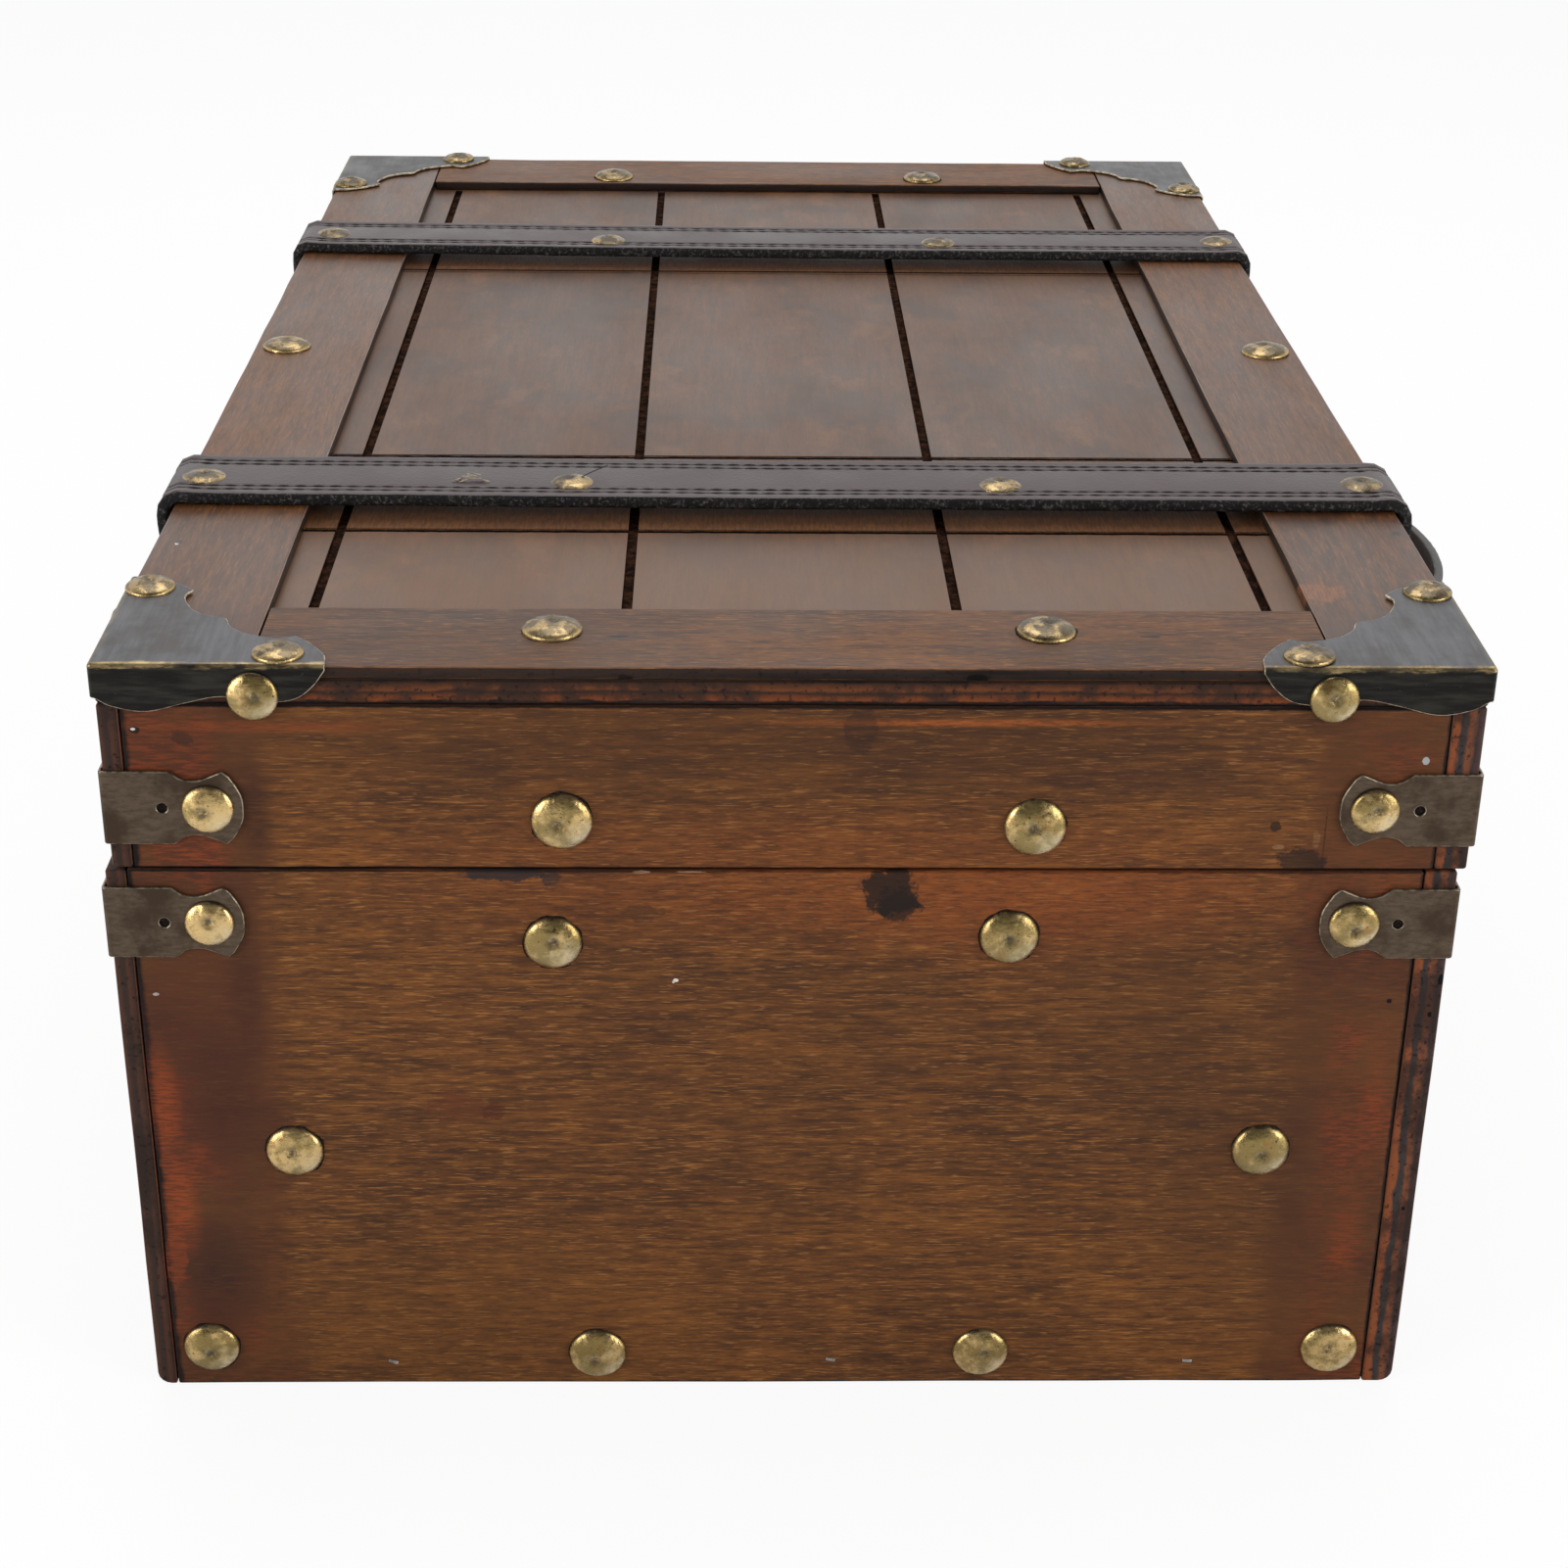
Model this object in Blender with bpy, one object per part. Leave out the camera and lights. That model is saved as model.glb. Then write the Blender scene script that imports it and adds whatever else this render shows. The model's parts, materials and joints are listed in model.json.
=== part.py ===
"""Wooden trunk with a hinged lid, two buckled leather straps and a leather carrying handle.

Metres, +Z up. The origin is the middle of the underside. The front faces -Y, and X runs along the trunk.
"""

import math

import bmesh
import bpy
from mathutils import Matrix, Vector

# The wooden box
LENGTH = 0.508
WIDTH = 0.330
SEAM_HEIGHT = 0.1542
SEAM_GAP = 0.0007
LID_HEIGHT = 0.0531
LID_FORWARD = 0.002
GAP = 0.0003

FRONT_BOARD = 0.008
BACK_BOARD = 0.005
END_BOARD = 0.008
BOTTOM_BOARD = 0.008
EASED_EDGE = 0.0005
WORN_CORNER = 0.003

# The framed top
PANEL_BOARD = 0.0062
FRAME_BOARD = 0.0030
STILE_WIDTH = 0.036
RAIL_WIDTH = 0.037
GROOVE_WIDTH = 0.0027
GROOVE_DEPTH = 0.0016
MIDDLE_PLANK = 0.0826
EDGE_PLANK = 0.0097
SCORE_WIDTH = 0.0011
SCORE_DEPTH = 0.0006
SCORE_SPREAD = 0.030
SCORE_SHIFT = 0.0035

# Round-headed studs. Sheet metal and leather have smaller ones than the bare wood.
STUD_RADIUS = 0.0074
SMALL_STUD_RADIUS = 0.0061
STUD_SIDES = 10
STUD_DOME_SHARE = 0.35
STUD_SUNK = 0.0004
# Each ring's radius and height, as shares of the stud's radius and of its dome
STUD_RINGS = ((1.0, 0.0), (1.0, 0.30), (0.72, 0.80))

# Where the bare wood is studded. "In" is from a side edge, "out" from the middle, "inside strap" from the
# strap's middle towards the trunk's, and a height from below.
STILE_STUD_IN = 0.010
RAIL_STUD_IN = {"left": 0.021, "right": 0.028}
RAIL_STUD_OUT = 0.060
LID_STUD_OUT = 0.057
LID_STUD_UP = 0.0121
TOP_ROW_OUT = 0.0565
TOP_ROW_BELOW_SEAM = 0.0189
MIDDLE_ROW_IN = 0.041
MIDDLE_ROW_UP = 0.0738
BOTTOM_ROW_IN = 0.0165
BOTTOM_ROW_OUT = 0.051
BOTTOM_ROW_INSIDE_STRAP = 0.042
BOTTOM_ROW_UP = 0.0112

# Sheet-metal corner plates and brackets
PLATE_SHEET = 0.0008
PLATE_REACH = 0.0545
PLATE_CUSP = 0.0285
PLATE_STUD_IN = 0.0052
PLATE_END_STUD_ALONG = 0.0428
PLATE_SIDE_STUD_ALONG = 0.0465
PLATE_EDGE_STUD_ALONG = 0.038
PLATE_EDGE_STUD_DOWN = 0.0058
# The lobe at the end of an arm, down to its pointed ear: how far in from the side, and back from the tip
PLATE_LOBE = ((0.0040, 0.0005), (0.0085, 0.0030), (0.0125, 0.0060), (0.0160, 0.0090))
# The bite behind the ear, measured alike
PLATE_BITE = ((0.0150, 0.0125), (0.0160, 0.0165))
# The hollow between the bite and the cusp: how far in from the side, and how far past the cusp
PLATE_HOLLOW = ((0.0185, 0.0065), (0.0220, 0.0035))
# The wavy lower edge of a leaf over a face: distance from the corner, and depth below the leaf's top
PLATE_WAVE_START = 0.0078
PLATE_WAVE = ((0.004, 0.0108), (0.012, 0.0124), (0.022, 0.0100), (0.030, 0.0085), (0.040, 0.0098),
              (0.047, 0.0090), (0.0515, 0.0058))
BRACKET_HEIGHT = 0.0193
BRACKET_REACH = 0.033
LID_BRACKET_UP = 0.0165
BASE_BRACKET_DOWN = 0.0140
BRACKET_NECK = 0.74
BRACKET_STRAIGHT = 0.0155
BRACKET_NECK_START = 0.020
BRACKET_HEAD = 0.0085
BRACKET_EAR = 0.0045
BRACKET_TIP = 0.0015
BRACKET_TIP_HEIGHT = 0.62
BRACKET_STUD_ALONG = 0.0245
BRACKET_HOLE_ALONG = 0.0135
BRACKET_HOLE_RADIUS = 0.0013

# Leather straps
STRAP_WIDTH = 0.030
STRAP_THICKNESS = 0.0027
STRAP_FROM_END = 0.127
STRAP_BEND = 0.0015
STRAP_BACK_UP = 0.0075
STRAP_BACK_STUD_UP = 0.012
STRAP_FRONT_UP = 0.0051
STRAP_STUD_OUT = 0.0585
STRAP_STUD_IN = 0.007
STRAP_TIP = 0.016
STRAP_TIP_ROUND = 0.35
BASE_STRAP_LOW = 0.010
BASE_STRAP_LAP = 0.014
BASE_STRAP_STUD_UP = 0.012
BASE_STRAP_STUD_PITCH = 0.0230

# Buckles
BUCKLE_WIRE = 0.0024
BUCKLE_HEIGHT = 0.030
BUCKLE_SIDE_ROOM = 0.0008
BUCKLE_CORNER = 0.004
HEEL_BELOW_FOLD = 0.050
PRONG_WIDTH = 0.003
PRONG_THICKNESS = 0.0016
PRONG_EYE_WALL = 0.0006
PRONG_EYE_ROOM = 0.00025
PRONG_PAST_BAR = 0.003
PRONG_TURN = math.radians(40)
SLOT_ROOM = 0.0006
KEEPER_WIDTH = 0.010
KEEPER_SHEET = 0.0014
KEEPER_BELOW_HEEL = 0.012
KEEPER_ABOVE_TIP = 0.002

# Carrying handle
HANDLE_BAND = 0.020
HANDLE_THICKNESS = 0.003
HANDLE_TOP_BELOW_SEAM = 0.0097
HANDLE_RISE = 0.048
HANDLE_TURN = 0.010
HANDLE_PAD = 0.026
HANDLE_TO_BUCKLE = 0.0032

# Hinges
HINGE_WIDTH = 0.040
HINGE_LEAF = 0.028
HINGE_SHEET = 0.0012
KNUCKLE_RADIUS = 0.0026
PIN_RADIUS = 0.0011
PIN_ROOM = 0.00015
PIN_END = 0.001
STOP_EAR = 0.006
LID_OPENS = math.radians(104)

ENDS = {"left": -1, "right": 1}
FACES = {"front": -1, "back": 1}

END_X = LENGTH / 2
BASE_FRONT = -WIDTH / 2
BASE_BACK = WIDTH / 2
LID_FRONT = BASE_FRONT - LID_FORWARD
LID_BACK = BASE_BACK - LID_FORWARD
LID_MIDDLE = (LID_FRONT + LID_BACK) / 2
LID_LOW = SEAM_HEIGHT + SEAM_GAP
HEIGHT = LID_LOW + LID_HEIGHT
FRAME_LOW = HEIGHT - FRAME_BOARD
PANEL_TOP = FRAME_LOW - GAP
PANEL_LOW = PANEL_TOP - PANEL_BOARD
LID_WALL_TOP = PANEL_LOW - GAP
SHEET_OUT = GAP + PLATE_SHEET
STRAP_X = END_X - STRAP_FROM_END

MATERIALS = {
    "stained_wood": ((0.16, 0.062, 0.028), 0.45, 0.0),
    "leather": ((0.030, 0.018, 0.014), 0.50, 0.0),
    "antique_brass": ((0.45, 0.36, 0.17), 0.35, 1.0),
    "dark_metal": ((0.10, 0.095, 0.085), 0.45, 1.0),
    "bronze_metal": ((0.17, 0.15, 0.11), 0.45, 1.0),
}


def material(name):
    """A plain finish of that name, made once."""
    found = bpy.data.materials.get(name)
    if found:
        return found
    colour, roughness, metallic = MATERIALS[name]
    made = bpy.data.materials.new(name)
    made.use_nodes = True
    shader = made.node_tree.nodes["Principled BSDF"]
    shader.inputs["Base Color"].default_value = (*colour, 1.0)
    shader.inputs["Roughness"].default_value = roughness
    shader.inputs["Metallic"].default_value = metallic
    made.diffuse_color = (*colour, 1.0)
    return made


def as_object(name, bm, finish=None):
    """Turns a bmesh into an object. With no finish it is a helper, which isn't part of the trunk."""
    bmesh.ops.recalc_face_normals(bm, faces=bm.faces)
    mesh = bpy.data.meshes.new(name)
    bm.to_mesh(mesh)
    bm.free()
    obj = bpy.data.objects.new(name, mesh)
    bpy.context.scene.collection.objects.link(obj)
    if finish:
        mesh.materials.append(material(finish))
    else:
        obj.hide_render = True
        obj.display_type = "WIRE"
    return obj


def add_prism(bm, outline, axis, low, high):
    """Adds the closed prism that the outline makes between two places along an axis, "X", "Y" or "Z".

    Its points are given along the other two axes, in the order X, Y, Z."""
    place = {
        "X": lambda a, b, c: (c, a, b),
        "Y": lambda a, b, c: (a, c, b),
        "Z": lambda a, b, c: (a, b, c),
    }[axis]
    rings = [[bm.verts.new(place(a, b, c)) for a, b in outline] for c in (low, high)]
    bm.faces.new(rings[0])
    bm.faces.new(rings[1])
    for i in range(len(outline)):
        j = (i + 1) % len(outline)
        bm.faces.new((rings[0][i], rings[0][j], rings[1][j], rings[1][i]))


def prism(outline, axis, low, high):
    bm = bmesh.new()
    add_prism(bm, outline, axis, low, high)
    return bm


def rectangle(low_a, high_a, low_b, high_b):
    return [(low_a, low_b), (high_a, low_b), (high_a, high_b), (low_a, high_b)]


def arc(centre, radius, start, end, steps):
    """Points on an arc, with its angles in radians."""
    angles = [start + (end - start) * i / steps for i in range(steps + 1)]
    return [(centre[0] + radius * math.cos(t), centre[1] + radius * math.sin(t)) for t in angles]


def curve_through(points, steps):
    """Points on a smooth curve through the given ones, with that many steps between two of them."""
    ends = [points[0], *points, points[-1]]
    found = []
    for i in range(1, len(ends) - 2):
        before, start, end, after = (Vector(p) for p in ends[i - 1 : i + 3])
        for k in range(steps):
            t = k / steps
            found.append(
                tuple(
                    (
                        2 * start
                        + (end - before) * t
                        + (2 * before - 5 * start + 4 * end - after) * t * t
                        + (3 * start - before - 3 * end + after) * t**3
                    )
                    / 2
                )
            )
    return [*found, tuple(points[-1])]


def add_stud(bm, foot, outward, radius):
    """Adds a domed stud head whose rim lies at the foot point and whose dome points outward."""
    dome = radius * STUD_DOME_SHARE
    turn = Vector((0, 0, 1)).rotation_difference(Vector(outward)).to_matrix()
    foot = Vector(foot)
    rings = []
    for width, height in STUD_RINGS:
        ring = []
        for i in range(STUD_SIDES):
            angle = math.tau * i / STUD_SIDES
            side = Vector((math.cos(angle), math.sin(angle), 0)) * radius * width
            ring.append(bm.verts.new(foot + turn @ (side + Vector((0, 0, dome * height)))))
        rings.append(ring)
    bm.faces.new(rings[0])
    for lower, upper in zip(rings, rings[1:]):
        for i in range(STUD_SIDES):
            j = (i + 1) % STUD_SIDES
            bm.faces.new((lower[i], lower[j], upper[j], upper[i]))
    top = bm.verts.new(foot + turn @ Vector((0, 0, dome)))
    for i in range(STUD_SIDES):
        bm.faces.new((rings[-1][i], rings[-1][(i + 1) % STUD_SIDES], top))


def boolean(obj, other, operation):
    modifier = obj.modifiers.new(operation.lower(), "BOOLEAN")
    modifier.operation = operation
    modifier.object = other
    modifier.solver = "EXACT"


def cut(obj, bm):
    boolean(obj, as_object(obj.name + "_cutter", bm), "DIFFERENCE")


def join(obj, bm):
    boolean(obj, as_object(obj.name + "_addition", bm), "UNION")


def drive_studs(obj, places, radius):
    """Fixes stud heads to a piece. Each place is a point on its surface and the way out of it."""
    bm = bmesh.new()
    for point, outward in places:
        add_stud(bm, Vector(point) - Vector(outward) * STUD_SUNK, outward, radius)
    join(obj, bm)


def ease_edges(obj):
    bevel = obj.modifiers.new("eased_edges", "BEVEL")
    bevel.width = EASED_EDGE
    bevel.segments = 1
    bevel.limit_method = "ANGLE"


def board(name, outline, axis, low, high):
    obj = as_object(name, prism(outline, axis, low, high), "stained_wood")
    ease_edges(obj)
    return obj


def wall_faces(front, back):
    """For each long wall, its side (-1 for the front), and where its outer and inner faces lie along Y."""
    return {
        "front": (-1, front, front + FRONT_BOARD),
        "back": (1, back, back - BACK_BOARD),
    }


def between_walls(front, back):
    """Where a piece that fits between the long walls begins and ends along Y."""
    return front + FRONT_BOARD + GAP, back - BACK_BOARD - GAP


def end_wall_span(side):
    """Where an end wall begins and ends along X."""
    return sorted((side * END_X, side * (END_X - END_BOARD)))


def make_base_long_walls():
    rows = [
        (STRAP_X - BOTTOM_ROW_INSIDE_STRAP, BOTTOM_ROW_UP),
        (END_X - BOTTOM_ROW_IN, BOTTOM_ROW_UP),
        (END_X - MIDDLE_ROW_IN, MIDDLE_ROW_UP),
    ]
    for face, (side, outer, inner) in wall_faces(BASE_FRONT, BASE_BACK).items():
        outline = [
            (outer, WORN_CORNER),
            (outer - side * WORN_CORNER, 0),
            (inner, 0),
            (inner, SEAM_HEIGHT),
            (outer, SEAM_HEIGHT),
        ]
        wall = board(f"base_{face}_board", outline, "X", -END_X, END_X)
        places = [((end * x, outer, z), (0, side, 0)) for x, z in rows for end in (-1, 1)]
        drive_studs(wall, places, STUD_RADIUS)


def make_base_end_walls():
    rows = [
        (TOP_ROW_OUT, SEAM_HEIGHT - TOP_ROW_BELOW_SEAM),
        (WIDTH / 2 - MIDDLE_ROW_IN, MIDDLE_ROW_UP),
        (WIDTH / 2 - BOTTOM_ROW_IN, BOTTOM_ROW_UP),
        (BOTTOM_ROW_OUT, BOTTOM_ROW_UP),
    ]
    outline = rectangle(*between_walls(BASE_FRONT, BASE_BACK), 0, SEAM_HEIGHT)
    for end, side in ENDS.items():
        wall = board(f"base_{end}_board", outline, "X", *end_wall_span(side))
        places = [((side * END_X, face * y, z), (side, 0, 0)) for y, z in rows for face in (-1, 1)]
        drive_studs(wall, places, STUD_RADIUS)


def make_base():
    """The open box: two long walls that run full length, two ends between them, and the bottom."""
    make_base_long_walls()
    make_base_end_walls()
    inside_x = END_X - END_BOARD - GAP
    outline = rectangle(-inside_x, inside_x, *between_walls(BASE_FRONT, BASE_BACK))
    board("base_bottom_board", outline, "Z", 0, BOTTOM_BOARD)


def make_lid_walls():
    for face, (side, outer, inner) in wall_faces(LID_FRONT, LID_BACK).items():
        outline = rectangle(*sorted((outer, inner)), LID_LOW, LID_WALL_TOP)
        wall = board(f"lid_{face}_board", outline, "X", -END_X, END_X)
        z = LID_LOW + LID_STUD_UP
        places = [((end * LID_STUD_OUT, outer, z), (0, side, 0)) for end in (-1, 1)]
        drive_studs(wall, places, STUD_RADIUS)
    outline = rectangle(*between_walls(LID_FRONT, LID_BACK), LID_LOW, LID_WALL_TOP)
    for end, side in ENDS.items():
        board(f"lid_{end}_board", outline, "X", *end_wall_span(side))


def make_lid_panel():
    """The thin panel over the lid's walls, with grooves between its planks and scored lines across them."""
    panel = board("lid_top_panel", rectangle(-END_X, END_X, LID_FRONT, LID_BACK), "Z", PANEL_LOW, PANEL_TOP)
    rail_edge = END_X - RAIL_WIDTH
    stile_edge = WIDTH / 2 - STILE_WIDTH
    grooves = bmesh.new()
    for distance in (MIDDLE_PLANK / 2, stile_edge - EDGE_PLANK):
        for side in (-1, 1):
            y = LID_MIDDLE + side * distance
            outline = rectangle(-rail_edge, rail_edge, y - GROOVE_WIDTH / 2, y + GROOVE_WIDTH / 2)
            add_prism(grooves, outline, "Z", PANEL_TOP - GROOVE_DEPTH, HEIGHT)
    cut(panel, grooves)
    scores = bmesh.new()
    for end in ENDS.values():
        for offset in (-SCORE_SPREAD, SCORE_SPREAD):
            x = end * STRAP_X + offset + SCORE_SHIFT
            outline = rectangle(
                x - SCORE_WIDTH / 2, x + SCORE_WIDTH / 2, LID_MIDDLE - stile_edge, LID_MIDDLE + stile_edge
            )
            add_prism(scores, outline, "Z", PANEL_TOP - SCORE_DEPTH, HEIGHT)
    cut(panel, scores)


def make_lid_frame():
    """The flat strips on the panel: two stiles that run full length, and two rails between them."""
    stile_edge = WIDTH / 2 - STILE_WIDTH
    for face, side in FACES.items():
        edges = sorted((LID_MIDDLE + side * WIDTH / 2, LID_MIDDLE + side * stile_edge))
        board(f"lid_{face}_stile", rectangle(-END_X, END_X, *edges), "Z", FRAME_LOW, HEIGHT)
    for end, side in ENDS.items():
        edges = sorted((side * END_X, side * (END_X - RAIL_WIDTH)))
        outline = rectangle(*edges, LID_MIDDLE - stile_edge + GAP, LID_MIDDLE + stile_edge - GAP)
        board(f"lid_{end}_rail", outline, "Z", FRAME_LOW, HEIGHT)


def make_lid_studs():
    """The studs in the bare wood of the lid's top and ends, each a piece of its own."""
    top = HEIGHT + GAP
    places = {}
    for face, side in FACES.items():
        y = LID_MIDDLE + side * (WIDTH / 2 - STILE_STUD_IN)
        places[f"stud_stile_{face}"] = ((0, y, top), (0, 0, 1))
        for end, out in ENDS.items():
            point = (out * (END_X - RAIL_STUD_IN[end]), LID_MIDDLE + side * RAIL_STUD_OUT, top)
            places[f"stud_rail_{end}_{face}"] = (point, (0, 0, 1))
            point = (out * (END_X + GAP), LID_MIDDLE + side * LID_STUD_OUT, LID_LOW + LID_STUD_UP)
            places[f"stud_lid_{end}_{face}"] = (point, (out, 0, 0))
    for name, (point, outward) in places.items():
        bm = bmesh.new()
        add_stud(bm, point, outward, STUD_RADIUS)
        stud = as_object(name, bm, "antique_brass")
        stud.data.shade_smooth()


def to_corner(bm, end, face, middle_y):
    """Moves a mesh, made with X and Y measured in from the corner's end and long side, to its place."""
    for vert in bm.verts:
        along, across, height = vert.co
        vert.co = (end * (END_X - along), middle_y + face * (WIDTH / 2 - across), height)


def corner_piece(name, finish, leaves, studs, holes, corner):
    """A bent sheet-metal piece. Its leaves, studs and holes are meshes that to_corner moves to the corner."""
    meshes = [*leaves, studs, *holes]
    for bm in meshes:
        to_corner(bm, *corner)
    obj = as_object(name, leaves[0], finish)
    for leaf in leaves[1:]:
        join(obj, leaf)
    join(obj, studs)
    for hole in holes:
        cut(obj, hole)


def plate_top_outline():
    """The plate's top leaf, measured in from the two sides of the corner.

    Each arm ends in a lobe with a pointed ear, and is bitten in behind it. Between the arms is a cusp."""
    reach = PLATE_REACH
    cusp = PLATE_CUSP
    half = [(inward, reach - back) for inward, back in PLATE_LOBE + PLATE_BITE]
    half += [(inward, cusp + past) for inward, past in PLATE_HOLLOW]
    other = [(b, a) for a, b in reversed(half)]
    corner = [(reach, -SHEET_OUT), (-SHEET_OUT, -SHEET_OUT), (-SHEET_OUT, reach)]
    return [*corner, *half, (cusp, cusp), *other]


def plate_edge_outline():
    """The plate's leaf over one face of the corner: distance from the corner, and height."""
    reach = PLATE_REACH
    top = HEIGHT + SHEET_OUT
    wave = [(-SHEET_OUT, PLATE_WAVE_START), *PLATE_WAVE, (reach, 0)]
    lower = [(along, top - down) for along, down in curve_through(wave, 2)]
    return [*lower[:-1], (reach, top), (-SHEET_OUT, top)]


def make_corner_plates():
    top = HEIGHT + GAP
    for end, end_side in ENDS.items():
        for face, face_side in FACES.items():
            top_leaf = prism(plate_top_outline(), "Z", top, top + PLATE_SHEET)
            end_leaf = prism(plate_edge_outline(), "X", -SHEET_OUT, -GAP)
            side_leaf = prism(plate_edge_outline(), "Y", -SHEET_OUT, -GAP)
            studs = bmesh.new()
            on_top = top + PLATE_SHEET - STUD_SUNK
            on_face = -SHEET_OUT + STUD_SUNK
            low = HEIGHT - PLATE_EDGE_STUD_DOWN
            for point, outward in (
                ((PLATE_STUD_IN, PLATE_END_STUD_ALONG, on_top), (0, 0, 1)),
                ((PLATE_SIDE_STUD_ALONG, PLATE_STUD_IN, on_top), (0, 0, 1)),
                ((on_face, PLATE_EDGE_STUD_ALONG, low), (-1, 0, 0)),
                ((PLATE_EDGE_STUD_ALONG, on_face, low), (0, -1, 0)),
            ):
                add_stud(studs, point, outward, SMALL_STUD_RADIUS)
            name = f"lid_corner_plate_{face}_{end}"
            leaves = [top_leaf, end_leaf, side_leaf]
            corner_piece(name, "dark_metal", leaves, studs, [], (end_side, face_side, LID_MIDDLE))


def bracket_outline(middle_z):
    """One leaf of a bracket: straight from the corner, drawn in at a neck, then a head with two ears."""
    full = BRACKET_HEIGHT / 2
    neck = full * BRACKET_NECK
    reach = BRACKET_REACH
    half = [(-SHEET_OUT, full), (BRACKET_STRAIGHT, full), (BRACKET_NECK_START, neck)]
    half += [(reach - BRACKET_HEAD, neck), (reach - BRACKET_EAR, full)]
    half += [(reach - BRACKET_TIP, full * BRACKET_TIP_HEIGHT), (reach, 0)]
    lower = [(along, -up) for along, up in reversed(half[:-1])]
    return [(along, middle_z + up) for along, up in half + lower]


def make_brackets():
    """Small brackets that wrap the four upright edges, one above the seam and one below it at each."""
    rows = {
        "lid": (LID_LOW + LID_BRACKET_UP, LID_MIDDLE),
        "base": (SEAM_HEIGHT - BASE_BRACKET_DOWN, 0),
    }
    on_face = -SHEET_OUT + STUD_SUNK
    for part, (z, middle_y) in rows.items():
        for end, end_side in ENDS.items():
            for face, face_side in FACES.items():
                end_leaf = prism(bracket_outline(z), "X", -SHEET_OUT, -GAP)
                side_leaf = prism(bracket_outline(z), "Y", -SHEET_OUT, -GAP)
                studs = bmesh.new()
                add_stud(studs, (on_face, BRACKET_STUD_ALONG, z), (-1, 0, 0), SMALL_STUD_RADIUS)
                add_stud(studs, (BRACKET_STUD_ALONG, on_face, z), (0, -1, 0), SMALL_STUD_RADIUS)
                hole = arc((BRACKET_HOLE_ALONG, z), BRACKET_HOLE_RADIUS, 0, math.tau * 7 / 8, 7)
                holes = [prism(hole, axis, -2 * SHEET_OUT, 0) for axis in ("X", "Y")]
                name = f"{part}_bracket_{face}_{end}"
                leaves = [end_leaf, side_leaf]
                corner_piece(name, "bronze_metal", leaves, studs, holes, (end_side, face_side, middle_y))


def prong_eye_radius():
    return BUCKLE_WIRE / 2 + PRONG_EYE_ROOM + PRONG_EYE_WALL


def strap_end_front():
    """The outer face of a strap's hanging end, along Y. The prong's eye fits behind the strap."""
    return BASE_FRONT - GAP - 2 * prong_eye_radius() - 2 * GAP - STRAP_THICKNESS


def fold():
    """The line where a strap's hanging end turns on the rest of the strap: its Y and Z."""
    half = STRAP_THICKNESS / 2
    return strap_end_front() + half, LID_LOW + STRAP_FRONT_UP - GAP - half


def strap_tip_height():
    keeper_low = heel_bar()[1] - KEEPER_BELOW_HEEL - KEEPER_WIDTH
    return keeper_low - KEEPER_ABOVE_TIP - STRAP_TIP


def make_lid_strap(end, x):
    """The strap over the lid: up its back, across the top and down its front, nailed with studs.

    Its front end is skived, which leaves the hanging end room to fold up."""
    thick = STRAP_THICKNESS
    top = HEIGHT + GAP
    back = LID_BACK + GAP
    front = LID_FRONT - GAP
    bend = STRAP_BEND
    low_front = LID_LOW + STRAP_FRONT_UP
    low_back = LID_LOW + STRAP_BACK_UP
    hang = strap_end_front()
    quarter = math.pi / 2
    back_centre = (back - bend, top - bend)
    front_centre = (front + bend, top - bend)
    outline = [(back, low_back), (back + thick, low_back)]
    outline += arc(back_centre, bend + thick, 0, quarter, 4)
    outline += arc(front_centre, bend + thick, quarter, 2 * quarter, 4)
    outline += [(hang, low_front + thick), (hang + thick, low_front)]
    outline += arc(front_centre, bend, 2 * quarter, quarter, 2)
    outline += arc(back_centre, bend, quarter, 0, 2)
    half = STRAP_WIDTH / 2
    strap = as_object(f"lid_strap_{end}", prism(outline, "X", x - half, x + half), "leather")
    rows = (STRAP_STUD_OUT, WIDTH / 2 - STRAP_STUD_IN)
    places = [((x, LID_MIDDLE + side * y, top + thick), (0, 0, 1)) for y in rows for side in (-1, 1)]
    places.append(((x, back + thick, low_back + STRAP_BACK_STUD_UP), (0, 1, 0)))
    drive_studs(strap, places, SMALL_STUD_RADIUS)


def make_base_strap(end, x):
    """The short strap nailed to the base's front, under the hanging end. Its studs stop below the tip."""
    half = STRAP_WIDTH / 2
    tip = strap_tip_height()
    outline = rectangle(x - half, x + half, BASE_STRAP_LOW, tip + BASE_STRAP_LAP)
    outer = BASE_FRONT - GAP - STRAP_THICKNESS
    strap = as_object(f"base_strap_{end}", prism(outline, "Y", outer, BASE_FRONT - GAP), "leather")
    first = BASE_STRAP_LOW + BASE_STRAP_STUD_UP
    more = int((tip - SMALL_STUD_RADIUS - first) / BASE_STRAP_STUD_PITCH)
    heights = [first + i * BASE_STRAP_STUD_PITCH for i in range(more + 1)]
    drive_studs(strap, [((x, outer, z), (0, -1, 0)) for z in heights], SMALL_STUD_RADIUS)


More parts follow.
